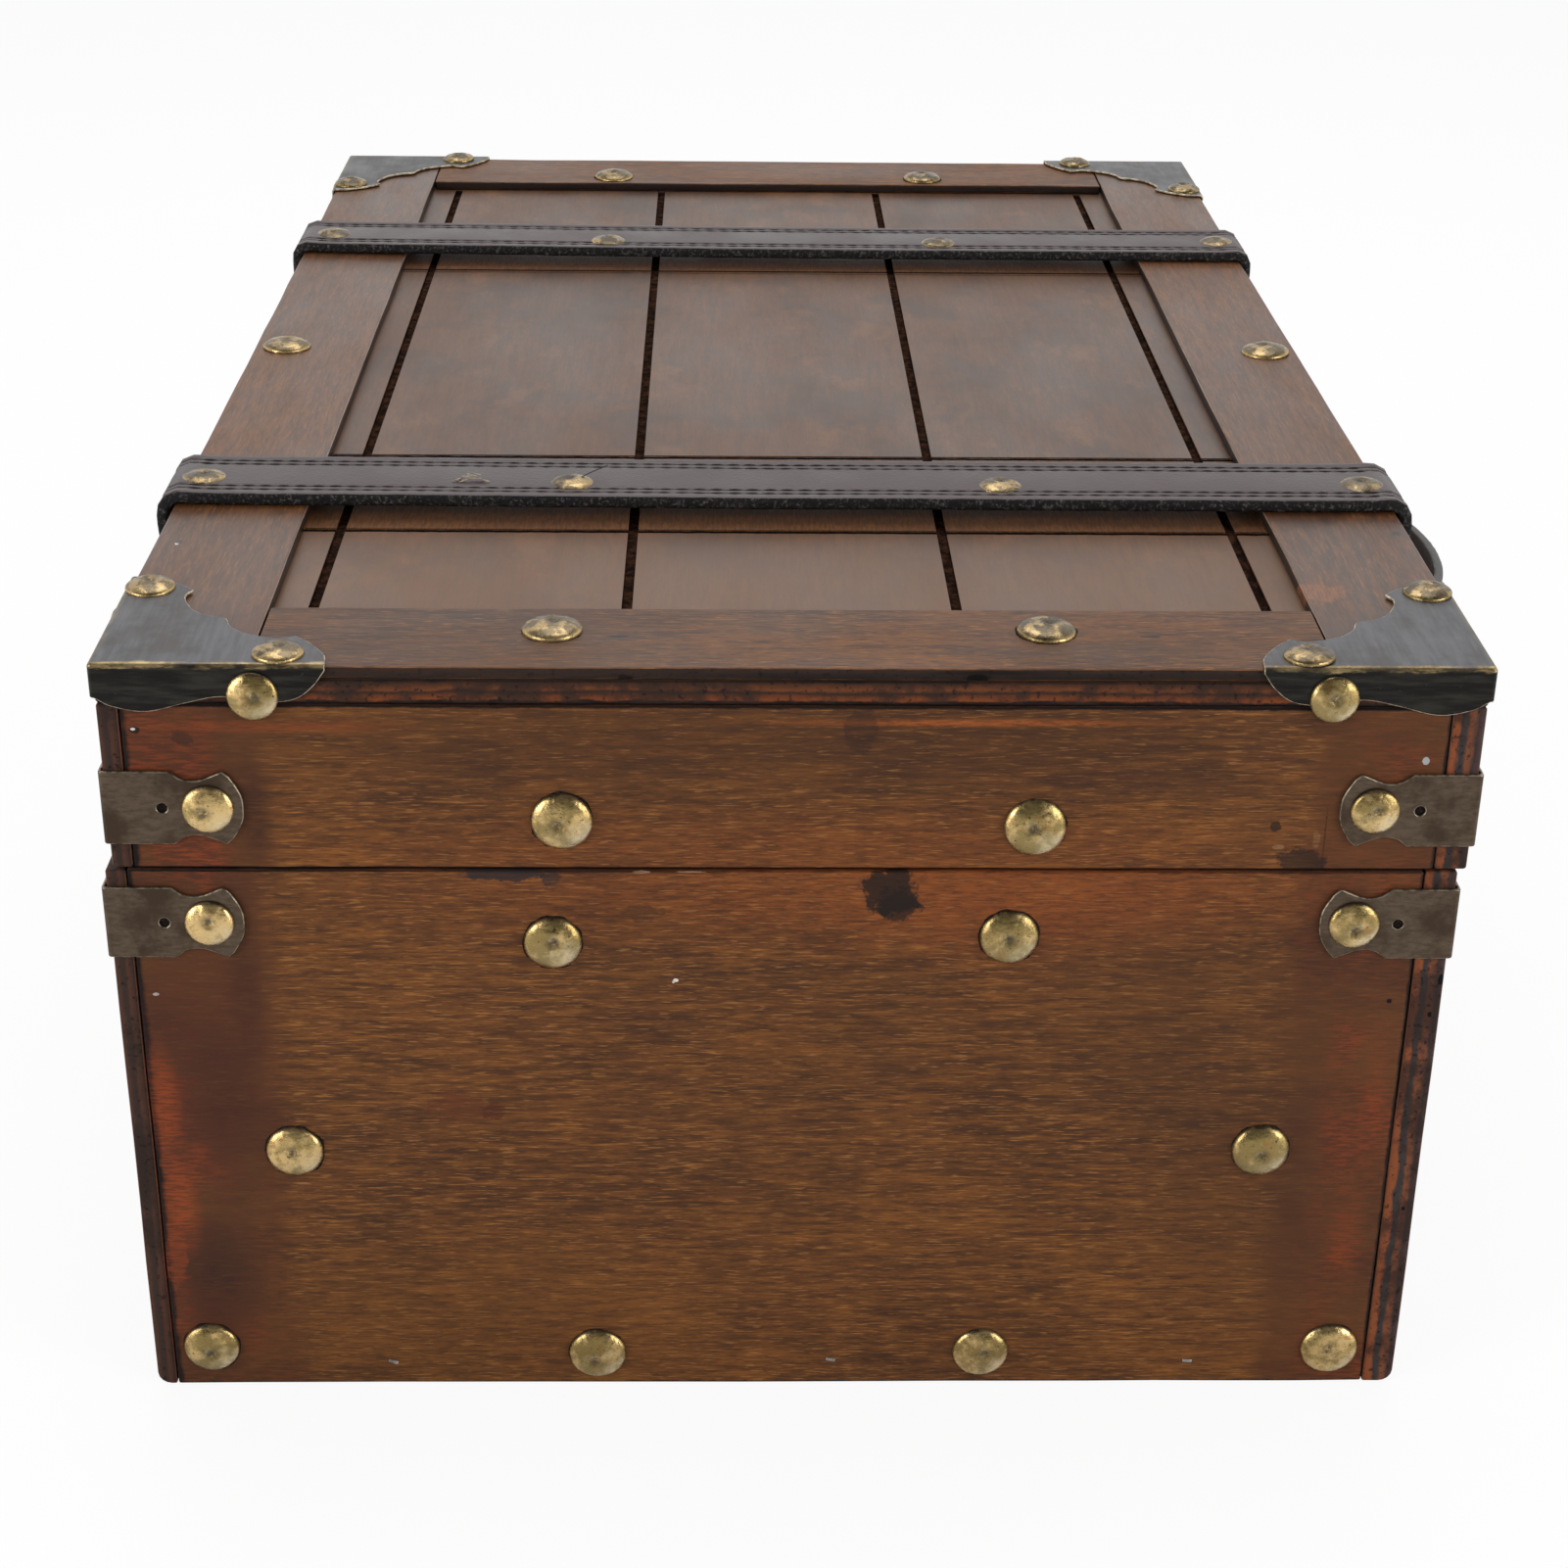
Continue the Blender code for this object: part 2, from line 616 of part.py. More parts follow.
def make_strap_end(end, x):
    """The hanging end of the lid's strap, with a rounded fold, a pointed tip and a slot for the prong."""
    half = STRAP_WIDTH / 2
    middle_y, fold_z = fold()
    low = strap_tip_height()
    outer, inner = middle_y - STRAP_THICKNESS / 2, middle_y + STRAP_THICKNESS / 2
    side_view = [(outer, low), (inner, low), *arc((middle_y, fold_z), STRAP_THICKNESS / 2, 0, math.pi, 6)]
    strap = as_object(f"strap_end_{end}", prism(side_view, "X", x - half, x + half), "leather")
    above = fold_z + STRAP_THICKNESS
    tip = [(x + half * t, low + STRAP_TIP * t * t) for t in (-1, -STRAP_TIP_ROUND, 0, STRAP_TIP_ROUND, 1)]
    front_view = [(x - half, above), *tip, (x + half, above)]
    shape = as_object(f"strap_end_{end}_shape", prism(front_view, "Y", outer - GAP, inner + GAP))
    boolean(strap, shape, "INTERSECT")
    heel_y, heel_z = heel_bar()
    reach = heel_y - outer + PRONG_THICKNESS
    slot_low = heel_z - reach * math.tan(PRONG_TURN) - PRONG_THICKNESS
    slot_high = heel_z + PRONG_THICKNESS / 2 + SLOT_ROOM
    slot_half = PRONG_WIDTH / 2 + SLOT_ROOM
    slot = rectangle(x - slot_half, x + slot_half, slot_low, slot_high)
    cut(strap, prism(slot, "Y", outer - GAP, inner + GAP))


def heel_bar():
    """Where the buckle's heel bar runs, behind the hanging strap end: its Y and Z."""
    return BASE_FRONT - GAP - prong_eye_radius(), fold()[1] - HEEL_BELOW_FOLD


def front_bar():
    """Where the buckle's front bar runs, before the hanging strap end: its Y and Z."""
    heel_y, heel_z = heel_bar()
    return strap_end_front() - GAP - BUCKLE_WIRE / 2, heel_z + BUCKLE_HEIGHT


def rounded_loop(half_width, height, corner, steps):
    """A rectangle with round corners, from its middle bottom at the origin: points (across, up)."""
    quarter = math.pi / 2
    inner = half_width - corner
    loop = []
    for i, (a, b) in enumerate(((inner, corner), (inner, height - corner))):
        loop += arc((a, b), corner, quarter * (i - 1), quarter * i, steps)
    for i, (a, b) in enumerate(((-inner, height - corner), (-inner, corner))):
        loop += arc((a, b), corner, quarter * (i + 1), quarter * (i + 2), steps)
    return loop


def swept_ring(path, radius, sides):
    """A closed tube round the path's points, which all lie in one plane, with the given number of sides."""
    bm = bmesh.new()
    normal = (path[1] - path[0]).cross(path[len(path) // 2] - path[0]).normalized()
    rings = []
    for i, point in enumerate(path):
        before = (point - path[i - 1]).normalized()
        after = (path[(i + 1) % len(path)] - point).normalized()
        along = (before + after).normalized()
        across = along.cross(normal)
        widen = 1 / max(along.dot(after), 0.5)
        ring = []
        for k in range(sides):
            angle = math.tau * (k + 0.5) / sides
            offset = across * math.cos(angle) * widen + normal * math.sin(angle)
            ring.append(bm.verts.new(point + offset * radius))
        rings.append(ring)
    for i, ring in enumerate(rings):
        other = rings[(i + 1) % len(rings)]
        for k in range(sides):
            m = (k + 1) % sides
            bm.faces.new((ring[k], ring[m], other[m], other[k]))
    return bm


def make_buckle_frame(end, x):
    """A wire frame whose front bar lies over the strap end and whose heel bar passes behind it."""
    heel = Vector((x, *heel_bar()))
    front = Vector((x, *front_bar()))
    up = (front - heel).normalized()
    half_width = STRAP_WIDTH / 2 + BUCKLE_SIDE_ROOM + BUCKLE_WIRE / 2
    loop = rounded_loop(half_width, (front - heel).length, BUCKLE_CORNER, 2)
    path = [heel + Vector((1, 0, 0)) * across + up * along for across, along in loop]
    frame = as_object(f"buckle_frame_{end}", swept_ring(path, BUCKLE_WIRE / 2, 8), "antique_brass")
    frame.data.shade_smooth()


def make_buckle_prong(end, x):
    """The prong: an eye round the heel bar, an arm out through the slot and a tongue over the front bar."""
    heel_y, heel_z = heel_bar()
    bar_y, bar_z = front_bar()
    thick = PRONG_THICKNESS
    low_x, high_x = x - PRONG_WIDTH / 2, x + PRONG_WIDTH / 2
    bore = BUCKLE_WIRE / 2 + PRONG_EYE_ROOM
    eye = arc((heel_y, heel_z), prong_eye_radius(), 0, math.tau * 11 / 12, 11)
    prong = as_object(f"buckle_prong_{end}", prism(eye, "X", low_x, high_x), "antique_brass")
    near = strap_end_front() - GAP
    over = bar_y - BUCKLE_WIRE / 2 - GAP
    tip_z = bar_z + BUCKLE_WIRE / 2 + PRONG_PAST_BAR
    start = heel_y - bore
    tongue = [
        (start, heel_z - thick / 2),
        (near - thick, heel_z - thick / 2),
        (near - thick, heel_z + thick),
        (over - thick, bar_z - BUCKLE_WIRE),
        (over - thick, tip_z - thick),
        (over, tip_z),
        (over, bar_z - BUCKLE_WIRE),
        (near, heel_z + thick),
        (near, heel_z + thick / 2),
        (start, heel_z + thick / 2),
    ]
    join(prong, prism(tongue, "X", low_x, high_x))
    hole = arc((heel_y, heel_z), bore, 0, math.tau * 11 / 12, 11)
    cut(prong, prism(hole, "X", low_x - thick, high_x + thick))


def make_keeper(end, x):
    """The leather loop round the hanging end below the buckle."""
    outer = strap_end_front()
    high = heel_bar()[1] - KEEPER_BELOW_HEEL
    low = high - KEEPER_WIDTH
    room = GAP
    half = STRAP_WIDTH / 2 + room
    sheet = KEEPER_SHEET
    inner_y = outer + STRAP_THICKNESS + room
    outline = rectangle(x - half - sheet, x + half + sheet, outer - room - sheet, inner_y + sheet)
    keeper = as_object(f"strap_keeper_{end}", prism(outline, "Z", low, high), "leather")
    hole = rectangle(x - half, x + half, outer - room, inner_y)
    cut(keeper, prism(hole, "Z", low - sheet, high + sheet))


def make_straps():
    for end, side in ENDS.items():
        x = side * STRAP_X
        make_lid_strap(end, x)
        make_base_strap(end, x)
        make_strap_end(end, x)
        make_buckle_frame(end, x)
        make_buckle_prong(end, x)
        make_keeper(end, x)


def handle_end():
    """How far the handle's pads reach from the middle: up to the buckles, with room between them."""
    return STRAP_X - STRAP_WIDTH / 2 - BUCKLE_SIDE_ROOM - BUCKLE_WIRE - HANDLE_TO_BUCKLE


def handle_line(offset, steps):
    """The handle band's line seen from above, moved outward by offset: a pad, a turn, the arch, and back.

    The arch's radius is the one that meets both turns at its rise."""
    wall = BASE_FRONT - GAP - HANDLE_THICKNESS / 2
    turn = HANDLE_TURN
    turn_x = handle_end() - HANDLE_PAD
    arch = (turn_x**2 + HANDLE_RISE**2) / (2 * HANDLE_RISE) - turn
    centre_out = HANDLE_RISE - arch
    lean = math.atan2(turn_x, turn - centre_out)
    half = [(handle_end(), offset)]
    half += [
        (turn_x - (turn - offset) * math.sin(t), turn - (turn - offset) * math.cos(t))
        for t in (lean * i / steps for i in range(steps + 1))
    ]
    half += [
        ((arch + offset) * math.sin(t), centre_out + (arch + offset) * math.cos(t))
        for t in (lean * (1 - i / (2 * steps)) for i in range(1, 2 * steps + 1))
    ]
    other = [(-a, b) for a, b in reversed(half[:-1])]
    return [(a, wall - b) for a, b in half + other]


def make_handle():
    """A leather band that stands on edge and bows out from the front, nailed flat at both ends."""
    high = SEAM_HEIGHT - HANDLE_TOP_BELOW_SEAM
    low = high - HANDLE_BAND
    out = handle_line(HANDLE_THICKNESS / 2, 4)
    outline = out + handle_line(-HANDLE_THICKNESS / 2, 4)[::-1]
    handle = as_object("handle", prism(outline, "Z", low, high), "leather")
    face = BASE_FRONT - GAP - HANDLE_THICKNESS
    stud_x = handle_end() - HANDLE_PAD / 2
    places = [((side * stud_x, face, (low + high) / 2), (0, -1, 0)) for side in ENDS.values()]
    drive_studs(handle, places, SMALL_STUD_RADIUS)


def hinge_axis():
    """The hinge pins' centre line: its Y and Z."""
    return BASE_BACK + GAP + KNUCKLE_RADIUS, SEAM_HEIGHT + SEAM_GAP / 2


def stop_ear_angle():
    """How far above level the stop ear points at rest. It meets the base's leaf when the lid is open."""
    pin_y = hinge_axis()[0]
    leaf = pin_y - (BASE_BACK + GAP + HINGE_SHEET) - GAP
    half = HINGE_SHEET / 2
    level_turn = math.acos(-leaf / math.hypot(STOP_EAR, half)) - math.atan2(half, STOP_EAR)
    return LID_OPENS - level_turn


def bore_knuckles(obj, centre, low, high):
    hole = arc(centre, PIN_RADIUS + PIN_ROOM, 0, math.tau * 11 / 12, 11)
    cut(obj, prism(hole, "X", low, high))


def knuckle(centre):
    return arc(centre, KNUCKLE_RADIUS, 0, math.tau * 11 / 12, 11)


def hinge_x():
    """How far a hinge is from the middle: halfway between the strap and the corner brackets."""
    return (STRAP_X + STRAP_WIDTH / 2 + END_X - BRACKET_REACH) / 2


def make_hinge(end, x):
    """A hinge on the back. The base's leaf has the outer knuckles, the lid's the middle one and a stop."""
    pin_y, pin_z = hinge_axis()
    centre = (pin_y, pin_z)
    low, high = x - HINGE_WIDTH / 2, x + HINGE_WIDTH / 2
    third = HINGE_WIDTH / 3
    sheet = HINGE_SHEET
    base_face = BASE_BACK + GAP
    plate = rectangle(base_face, base_face + sheet, pin_z - HINGE_LEAF, pin_z - KNUCKLE_RADIUS)
    leaf = as_object(f"hinge_base_leaf_{end}", prism(plate, "X", low, high), "bronze_metal")
    outer = bmesh.new()
    neck = rectangle(base_face, base_face + sheet, pin_z - 2 * KNUCKLE_RADIUS, pin_z)
    for a, b in ((low, low + third - GAP), (high - third + GAP, high)):
        add_prism(outer, neck, "X", a, b)
    join(leaf, outer)
    rolls = bmesh.new()
    for a, b in ((low, low + third - GAP), (high - third + GAP, high)):
        add_prism(rolls, knuckle(centre), "X", a, b)
    join(leaf, rolls)
    bore_knuckles(leaf, centre, low - sheet, high + sheet)

    lid_face = LID_BACK + GAP
    start = pin_z + KNUCKLE_RADIUS + GAP
    plate = rectangle(lid_face, lid_face + sheet, start, pin_z + HINGE_LEAF)
    leaf = as_object(f"hinge_lid_leaf_{end}", prism(plate, "X", low, high), "bronze_metal")
    low, high = low + third, high - third
    neck = rectangle(lid_face, pin_y, LID_LOW + GAP, start + sheet)
    join(leaf, prism(neck, "X", low, high))
    join(leaf, prism(knuckle(centre), "X", low, high))
    raised = stop_ear_angle()
    along = Vector((math.cos(raised), math.sin(raised)))
    across = Vector((-along.y, along.x)) * sheet / 2
    foot = Vector(centre)
    tip = foot + along * STOP_EAR
    ear = [foot - across, tip - across, tip + across, foot + across]
    join(leaf, prism([tuple(p) for p in ear], "X", low, high))
    bore_knuckles(leaf, centre, low - sheet, high + sheet)

    body = arc(centre, PIN_RADIUS, 0, math.tau * 11 / 12, 11)
    ends = (x - HINGE_WIDTH / 2 - PIN_END, x + HINGE_WIDTH / 2 + PIN_END)
    pin = as_object(f"hinge_pin_{end}", prism(body, "X", *ends), "bronze_metal")
    pin.data.shade_smooth()


def make_pivot(name, place, carrier=None):
    """An empty on a joint's axis. The pieces that turn there are parented to it."""
    pivot = bpy.data.objects.new(name, None)
    pivot.location = place
    bpy.context.scene.collection.objects.link(pivot)
    if carrier:
        hang(pivot, carrier)
    return pivot, Vector(place)


def hang(obj, carrier):
    """Parents an object to a pivot without moving it."""
    pivot, place = carrier
    obj.parent = pivot
    obj.matrix_parent_inverse = Matrix.Translation(-place)


def hang_by_name(prefixes, carrier):
    for obj in list(bpy.data.objects):
        if obj.type == "MESH" and obj.name.startswith(prefixes):
            hang(obj, carrier)


def make_pivots():
    """One pivot for the lid, and on it one for each strap's hanging end, which carries its prong's."""
    lid = make_pivot("pivot_lid", (0, *hinge_axis()))
    hang_by_name(("lid_", "hinge_lid_leaf_", "stud_"), lid)
    for end, side in ENDS.items():
        strap_end = make_pivot(f"pivot_strap_end_{end}", (side * STRAP_X, *fold()), lid)
        hang_by_name((f"strap_end_{end}", f"buckle_frame_{end}", f"strap_keeper_{end}"), strap_end)
        prong = make_pivot(f"pivot_prong_{end}", (side * STRAP_X, *heel_bar()), strap_end)
        hang_by_name((f"buckle_prong_{end}",), prong)


def make_trunk():
    for obj in list(bpy.data.objects):
        bpy.data.objects.remove(obj)
    make_base()
    make_lid_walls()
    make_lid_panel()
    make_lid_frame()
    make_lid_studs()
    make_corner_plates()
    make_brackets()
    make_straps()
    make_handle()
    for end, side in ENDS.items():
        make_hinge(end, side * hinge_x())
    make_pivots()


make_trunk()
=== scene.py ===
"""The looks of the wooden trunk: stained plywood, studded brass, dark corner plates and stitched leather.

Metres, in the trunk's own frame: +Z up, the front faces -Y, and the left end faces the camera.
"""

import json
import math
import random

import bmesh
import bpy
from mathutils import Matrix, Vector, noise
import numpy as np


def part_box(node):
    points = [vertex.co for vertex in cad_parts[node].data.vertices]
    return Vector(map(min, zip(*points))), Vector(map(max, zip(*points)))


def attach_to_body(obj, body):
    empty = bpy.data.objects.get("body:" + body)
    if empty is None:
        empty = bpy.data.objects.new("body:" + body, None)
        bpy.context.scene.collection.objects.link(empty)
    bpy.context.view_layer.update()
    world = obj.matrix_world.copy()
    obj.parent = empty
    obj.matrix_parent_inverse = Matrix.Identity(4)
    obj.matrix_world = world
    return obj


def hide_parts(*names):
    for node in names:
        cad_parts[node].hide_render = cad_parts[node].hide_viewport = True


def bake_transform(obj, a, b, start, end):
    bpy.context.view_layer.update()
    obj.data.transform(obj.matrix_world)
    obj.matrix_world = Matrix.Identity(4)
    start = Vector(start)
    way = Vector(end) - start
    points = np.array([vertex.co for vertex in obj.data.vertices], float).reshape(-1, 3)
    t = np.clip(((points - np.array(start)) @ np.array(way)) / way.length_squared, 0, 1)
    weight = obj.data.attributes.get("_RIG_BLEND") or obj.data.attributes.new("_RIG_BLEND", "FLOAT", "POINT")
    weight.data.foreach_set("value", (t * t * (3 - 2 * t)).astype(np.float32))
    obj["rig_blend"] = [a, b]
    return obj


# Without a seed of its own, noise_vector starts from the clock and gives other meshes in each run
NOISE_SEED = 11
noise.seed_set(NOISE_SEED)

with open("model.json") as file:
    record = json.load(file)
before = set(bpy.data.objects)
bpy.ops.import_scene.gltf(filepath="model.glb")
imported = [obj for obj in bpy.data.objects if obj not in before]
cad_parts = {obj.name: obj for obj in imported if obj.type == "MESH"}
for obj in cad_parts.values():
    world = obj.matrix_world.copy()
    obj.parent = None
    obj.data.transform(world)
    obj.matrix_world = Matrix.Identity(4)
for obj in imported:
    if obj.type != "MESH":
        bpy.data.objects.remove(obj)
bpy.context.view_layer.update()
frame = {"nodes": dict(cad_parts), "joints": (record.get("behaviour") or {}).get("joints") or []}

# The camera that took the photograph, whose frame is square
CAMERA_PLACE = Vector((-0.8586, 0.01536, 0.46998))
CAMERA_YAW = math.radians(1.408)
CAMERA_PITCH = math.radians(25.786)
CAMERA_ROLL = math.radians(0.754)
CAMERA_LENS = 64.25

ENDS = {"left": -1, "right": 1}
FACES = {"front": -1, "back": 1}
GAP = 0.0003

# The box, read from the frame
PANEL_LOW, PANEL_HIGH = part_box("lid_top_panel")
END_X = PANEL_HIGH.x
LID_FRONT = PANEL_LOW.y
LID_BACK = PANEL_HIGH.y
LID_MIDDLE = (LID_FRONT + LID_BACK) / 2
HALF_WIDTH = (LID_BACK - LID_FRONT) / 2
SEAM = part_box("base_left_board")[1].z
LID_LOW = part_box("lid_left_board")[0].z
LID_WALL_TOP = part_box("lid_left_board")[1].z
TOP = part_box("lid_front_stile")[1].z
STRAP_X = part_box("base_strap_right")[0].x / 2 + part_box("base_strap_right")[1].x / 2

# Board thicknesses
FRONT_BOARD = 0.008
BACK_BOARD = 0.005
END_BOARD = 0.008

# Sheet metal
PLATE_SHEET = 0.0008
SHEET_OUT = GAP + PLATE_SHEET


# Finishes

FADING_SIZE = 0.012


def add_node(tree, kind, values=(), **settings):
    """Adds a node with the given settings. A value is a constant, or a socket that is linked to the input."""
    node = tree.nodes.new(kind)
    for key, value in settings.items():
        setattr(node, key, value)
    for key, value in dict(values).items():
        if isinstance(value, bpy.types.NodeSocket):
            tree.links.new(value, node.inputs[key])
        else:
            node.inputs[key].default_value = value
    return node


def math_node(tree, operation, *values):
    return add_node(tree, "ShaderNodeMath", enumerate(values), operation=operation).outputs[0]


def span_node(tree, value, low, high, to_low, to_high):
    """Turns a span of values smoothly into another span, and holds it at both ends."""
    values = {"Value": value, "From Min": low, "From Max": high, "To Min": to_low, "To Max": to_high}
    return add_node(tree, "ShaderNodeMapRange", values, interpolation_type="SMOOTHSTEP").outputs[0]


class Finish:
    """A node material under construction. Its methods add a node and give back the socket that comes out."""

    def __init__(self, name):
        self.material = bpy.data.materials.new(name)
        self.material.use_nodes = True
        self.tree = self.material.node_tree
        self.shader = self.tree.nodes["Principled BSDF"]
        self.place = self.add("ShaderNodeTexCoord").outputs["Object"]
        self.facing = self.add("ShaderNodeTexCoord").outputs["Normal"]

    def add(self, kind, values=(), **settings):
        return add_node(self.tree, kind, values, **settings)

    def sums(self, operation, *values):
        return math_node(self.tree, operation, *values)

    def times(self, first, second):
        return self.sums("MULTIPLY", first, second)

    def times_plus(self, first, second, third):
        return self.sums("MULTIPLY_ADD", first, second, third)

    def minus(self, first, second):
        return self.sums("SUBTRACT", first, second)

    def largest(self, first, second):
        return self.sums("MAXIMUM", first, second)

    def apart(self, first, second):
        return self.sums("ABSOLUTE", self.minus(first, second))

    def turned(self, name):
        """How far the surface faces along an axis, from -1 to 1."""
        return self.axis(name, self.facing)

    def axis(self, name, vector=None):
        return self.add("ShaderNodeSeparateXYZ", {0: vector or self.place}).outputs[name]

    def stretched(self, scale, vector=None):
        node = self.add("ShaderNodeVectorMath", {0: vector or self.place, 1: scale}, operation="MULTIPLY")
        return node.outputs[0]

    def noise(self, scale, vector=None, detail=3.0, roughness=0.5, distortion=0.0):
        values = {"Vector": vector or self.place, "Scale": scale, "Detail": detail}
        values.update({"Roughness": roughness, "Distortion": distortion})
        return self.add("ShaderNodeTexNoise", values).outputs["Fac"]

    def cells(self, scale):
        values = {"Vector": self.place, "Scale": scale}
        return self.add("ShaderNodeTexVoronoi", values, feature="SMOOTH_F1").outputs["Distance"]

    def between(self, value, low, high, to_low=0.0, to_high=1.0):
        return span_node(self.tree, value, low, high, to_low, to_high)

    def mixed(self, share, first, second):
        values = {0: share}
        for index, colour in ((6, first), (7, second)):
            values[index] = colour if isinstance(colour, bpy.types.NodeSocket) else (*colour, 1.0)
        return self.add("ShaderNodeMix", values, data_type="RGBA").outputs[2]

    def over(self, colour, layer, low, high, tint, share=1.0):
        """Lays a tint over a colour where a layer's value is past a span, up to a share."""
        return self.mixed(self.between(layer, low, high, 0.0, share), colour, tint)

    def ramp(self, value, stops):
        node = self.add("ShaderNodeValToRGB", {0: value})
        elements = node.color_ramp.elements
        while len(elements) < len(stops):
            elements.new(0.5)
        for element, (position, colour) in zip(elements, stops):
            element.position = position
            element.color = (*colour, 1.0)
        return node.outputs[0]

    def spot(self, centre, size, ragged):
        """1 inside a blot, 0 outside it. The centre and the size have three parts.

        A size of 0 sets no limit along its axis. Small blots have ragged edges, and large ones fade out."""
        inverse = [1 / s if s else 0 for s in size]
        apart = self.add("ShaderNodeVectorMath", {0: self.place, 1: centre}, operation="SUBTRACT").outputs[0]
        scaled = self.stretched(inverse, apart)
        length = self.add("ShaderNodeVectorMath", {0: scaled}, operation="LENGTH").outputs["Value"]
        if max(size) > FADING_SIZE:
            return self.between(self.times_plus(ragged, 0.2, length), 1.4, 0.2)
        return self.between(self.sums("ADD", length, ragged), 1.15, 0.85)

    def carried(self, name):
        """A value that the mesh carries at each of its points."""
        return self.add("ShaderNodeAttribute", attribute_name=name).outputs["Fac"]

    def bump(self, height, depth, strength=1.0):
        values = {"Height": height, "Distance": depth, "Strength": strength}
        normal = self.add("ShaderNodeBump", values).outputs[0]
        self.tree.links.new(normal, self.shader.inputs["Normal"])

    def set(self, **values):
        names = {"colour": "Base Color", "specular": "Specular IOR Level"}
        for key, value in values.items():
            socket = self.shader.inputs[names.get(key, key.capitalize())]
            if isinstance(value, bpy.types.NodeSocket):
                self.tree.links.new(value, socket)
            else:
                socket.default_value = value


BROWN_BRASS = (0.330, 0.180, 0.065)
PALE_WOOD = (0.280, 0.120, 0.036)
ORANGE_WOOD = (0.190, 0.070, 0.017)
BROWN_WOOD = (0.112, 0.043, 0.0145)
DARK_WOOD = (0.050, 0.022, 0.0110)
MAHOGANY = (0.080, 0.023, 0.0125)
RED_WOOD = (0.200, 0.042, 0.013)
STAIN = (0.014, 0.010, 0.0085)
BLUE_BLACK = (0.016, 0.017, 0.020)
BARE_CHIP = (0.34, 0.20, 0.13)
BRIGHT_RED = (0.270, 0.054, 0.014)

# A blot with a share up to this one lets the grain show through
STREAKED_SHARE = 0.62

AXES = {"X": (1, 0, 0), "Y": (0, 1, 0), "Z": (0, 0, 1)}


def grain_scale(grain, across, along):
    return [along if name == grain else across for name in "XYZ"]


def veneer(made, grain, shift, crisp=0.55):
    """The stained face of a board, with its grain along one axis: streaks, short fibres and soft clouds."""
    aside = (shift, shift * 1.7, shift * 0.6)
    place = made.add("ShaderNodeVectorMath", {0: made.place, 1: aside}, operation="ADD").outputs[0]
    waves = made.noise(6, made.stretched(grain_scale(grain, 1, 0.6), place), 3)
    clouds = made.noise(17, made.stretched(grain_scale(grain, 1.5, 0.6), place), 4, 0.6)
    streaks = made.noise(560, made.stretched(grain_scale(grain, 1, 0.09), place), 4, 0.65, 0.3)
    dashes = made.noise(2300, made.stretched(grain_scale(grain, 1, 0.075), place), 2, 0.6)
    fibres = made.noise(1500, made.stretched(grain_scale(grain, 1, 0.12), place), 3, 0.7)
    tone = made.times(made.between(fibres, 0.36, 0.64), 0.26)
    for layer, share in ((streaks, 0.32), (clouds, 0.24), (waves, 0.18)):
        tone = made.times_plus(made.between(layer, 0.36, 0.64), share, tone)
    colour = made.ramp(tone, ((0.08, DARK_WOOD), (0.50, BROWN_WOOD), (0.95, ORANGE_WOOD)))
    colour = made.over(colour, streaks, 0.54, 0.64, ORANGE_WOOD, crisp * 0.45)
    colour = made.over(colour, streaks, 0.46, 0.36, DARK_WOOD, crisp * 0.55)
    colour = made.over(colour, dashes, 0.56, 0.68, PALE_WOOD, crisp)
    colour = made.over(colour, dashes, 0.43, 0.32, DARK_WOOD, crisp)
    return colour, fibres, clouds


def plies(made, face, low, high, stops):
    """The layers in a board's cut edge, from its low side to its high side along the face's axis."""
    wander = made.noise(24, None, 3)
    torn = made.noise(260, made.stretched([1 if name == face else 0.35 for name in "XYZ"]), 5, 0.75)
    share = made.sums("DIVIDE", made.minus(made.axis(face), low), high - low)
    share = made.times_plus(made.minus(wander, 0.5), 0.22, share)
    share = made.times_plus(made.minus(torn, 0.5), 0.42, share)
    layers = made.ramp(share, stops)
    stained = made.noise(75, made.stretched((0.5, 0.5, 0.5)), 5, 0.75)
    stained = made.between(stained, 0.44, 0.58, 0.0, 0.80)
    layers = made.mixed(stained, layers, (0.024, 0.015, 0.012))
    pitted = made.between(made.noise(700, None, 3, 0.6), 0.58, 0.66, 0.0, 0.7)
    return made.mixed(pitted, layers, (0.008, 0.006, 0.006))


FRONT_PLIES = ((0.0, (0.17, 0.052, 0.022)), (0.22, (0.21, 0.060, 0.022)), (0.30, (0.034, 0.030, 0.030)),
               (0.46, (0.042, 0.034, 0.032)), (0.55, (0.17, 0.056, 0.026)), (0.70, (0.13, 0.050, 0.028)),
               (0.80, (0.038, 0.026, 0.026)), (1.0, (0.075, 0.042, 0.036)))
BACK_PLIES = ((0.0, (0.024, 0.014, 0.011)), (0.35, (0.070, 0.030, 0.020)), (0.5, (0.034, 0.021, 0.017)),
              (0.7, (0.040, 0.024, 0.019)), (0.85, (0.070, 0.031, 0.021)), (1.0, (0.040, 0.024, 0.019)))
PANEL_PLIES = ((0.0, (0.010, 0.007, 0.007)), (0.12, (0.010, 0.007, 0.007)), (0.20, (0.17, 0.046, 0.014)),
               (0.36, (0.11, 0.034, 0.014)), (0.50, (0.026, 0.017, 0.014)), (0.62, (0.13, 0.042, 0.016)),
               (0.84, (0.060, 0.024, 0.013)), (1.0, (0.012, 0.010, 0.010)))
STRIP_PLIES = ((0.0, (0.010, 0.008, 0.008)), (0.45, (0.018, 0.012, 0.011)), (0.80, (0.034, 0.019, 0.014)),
               (0.93, (0.040, 0.024, 0.018)), (1.0, (0.11, 0.066, 0.045)))


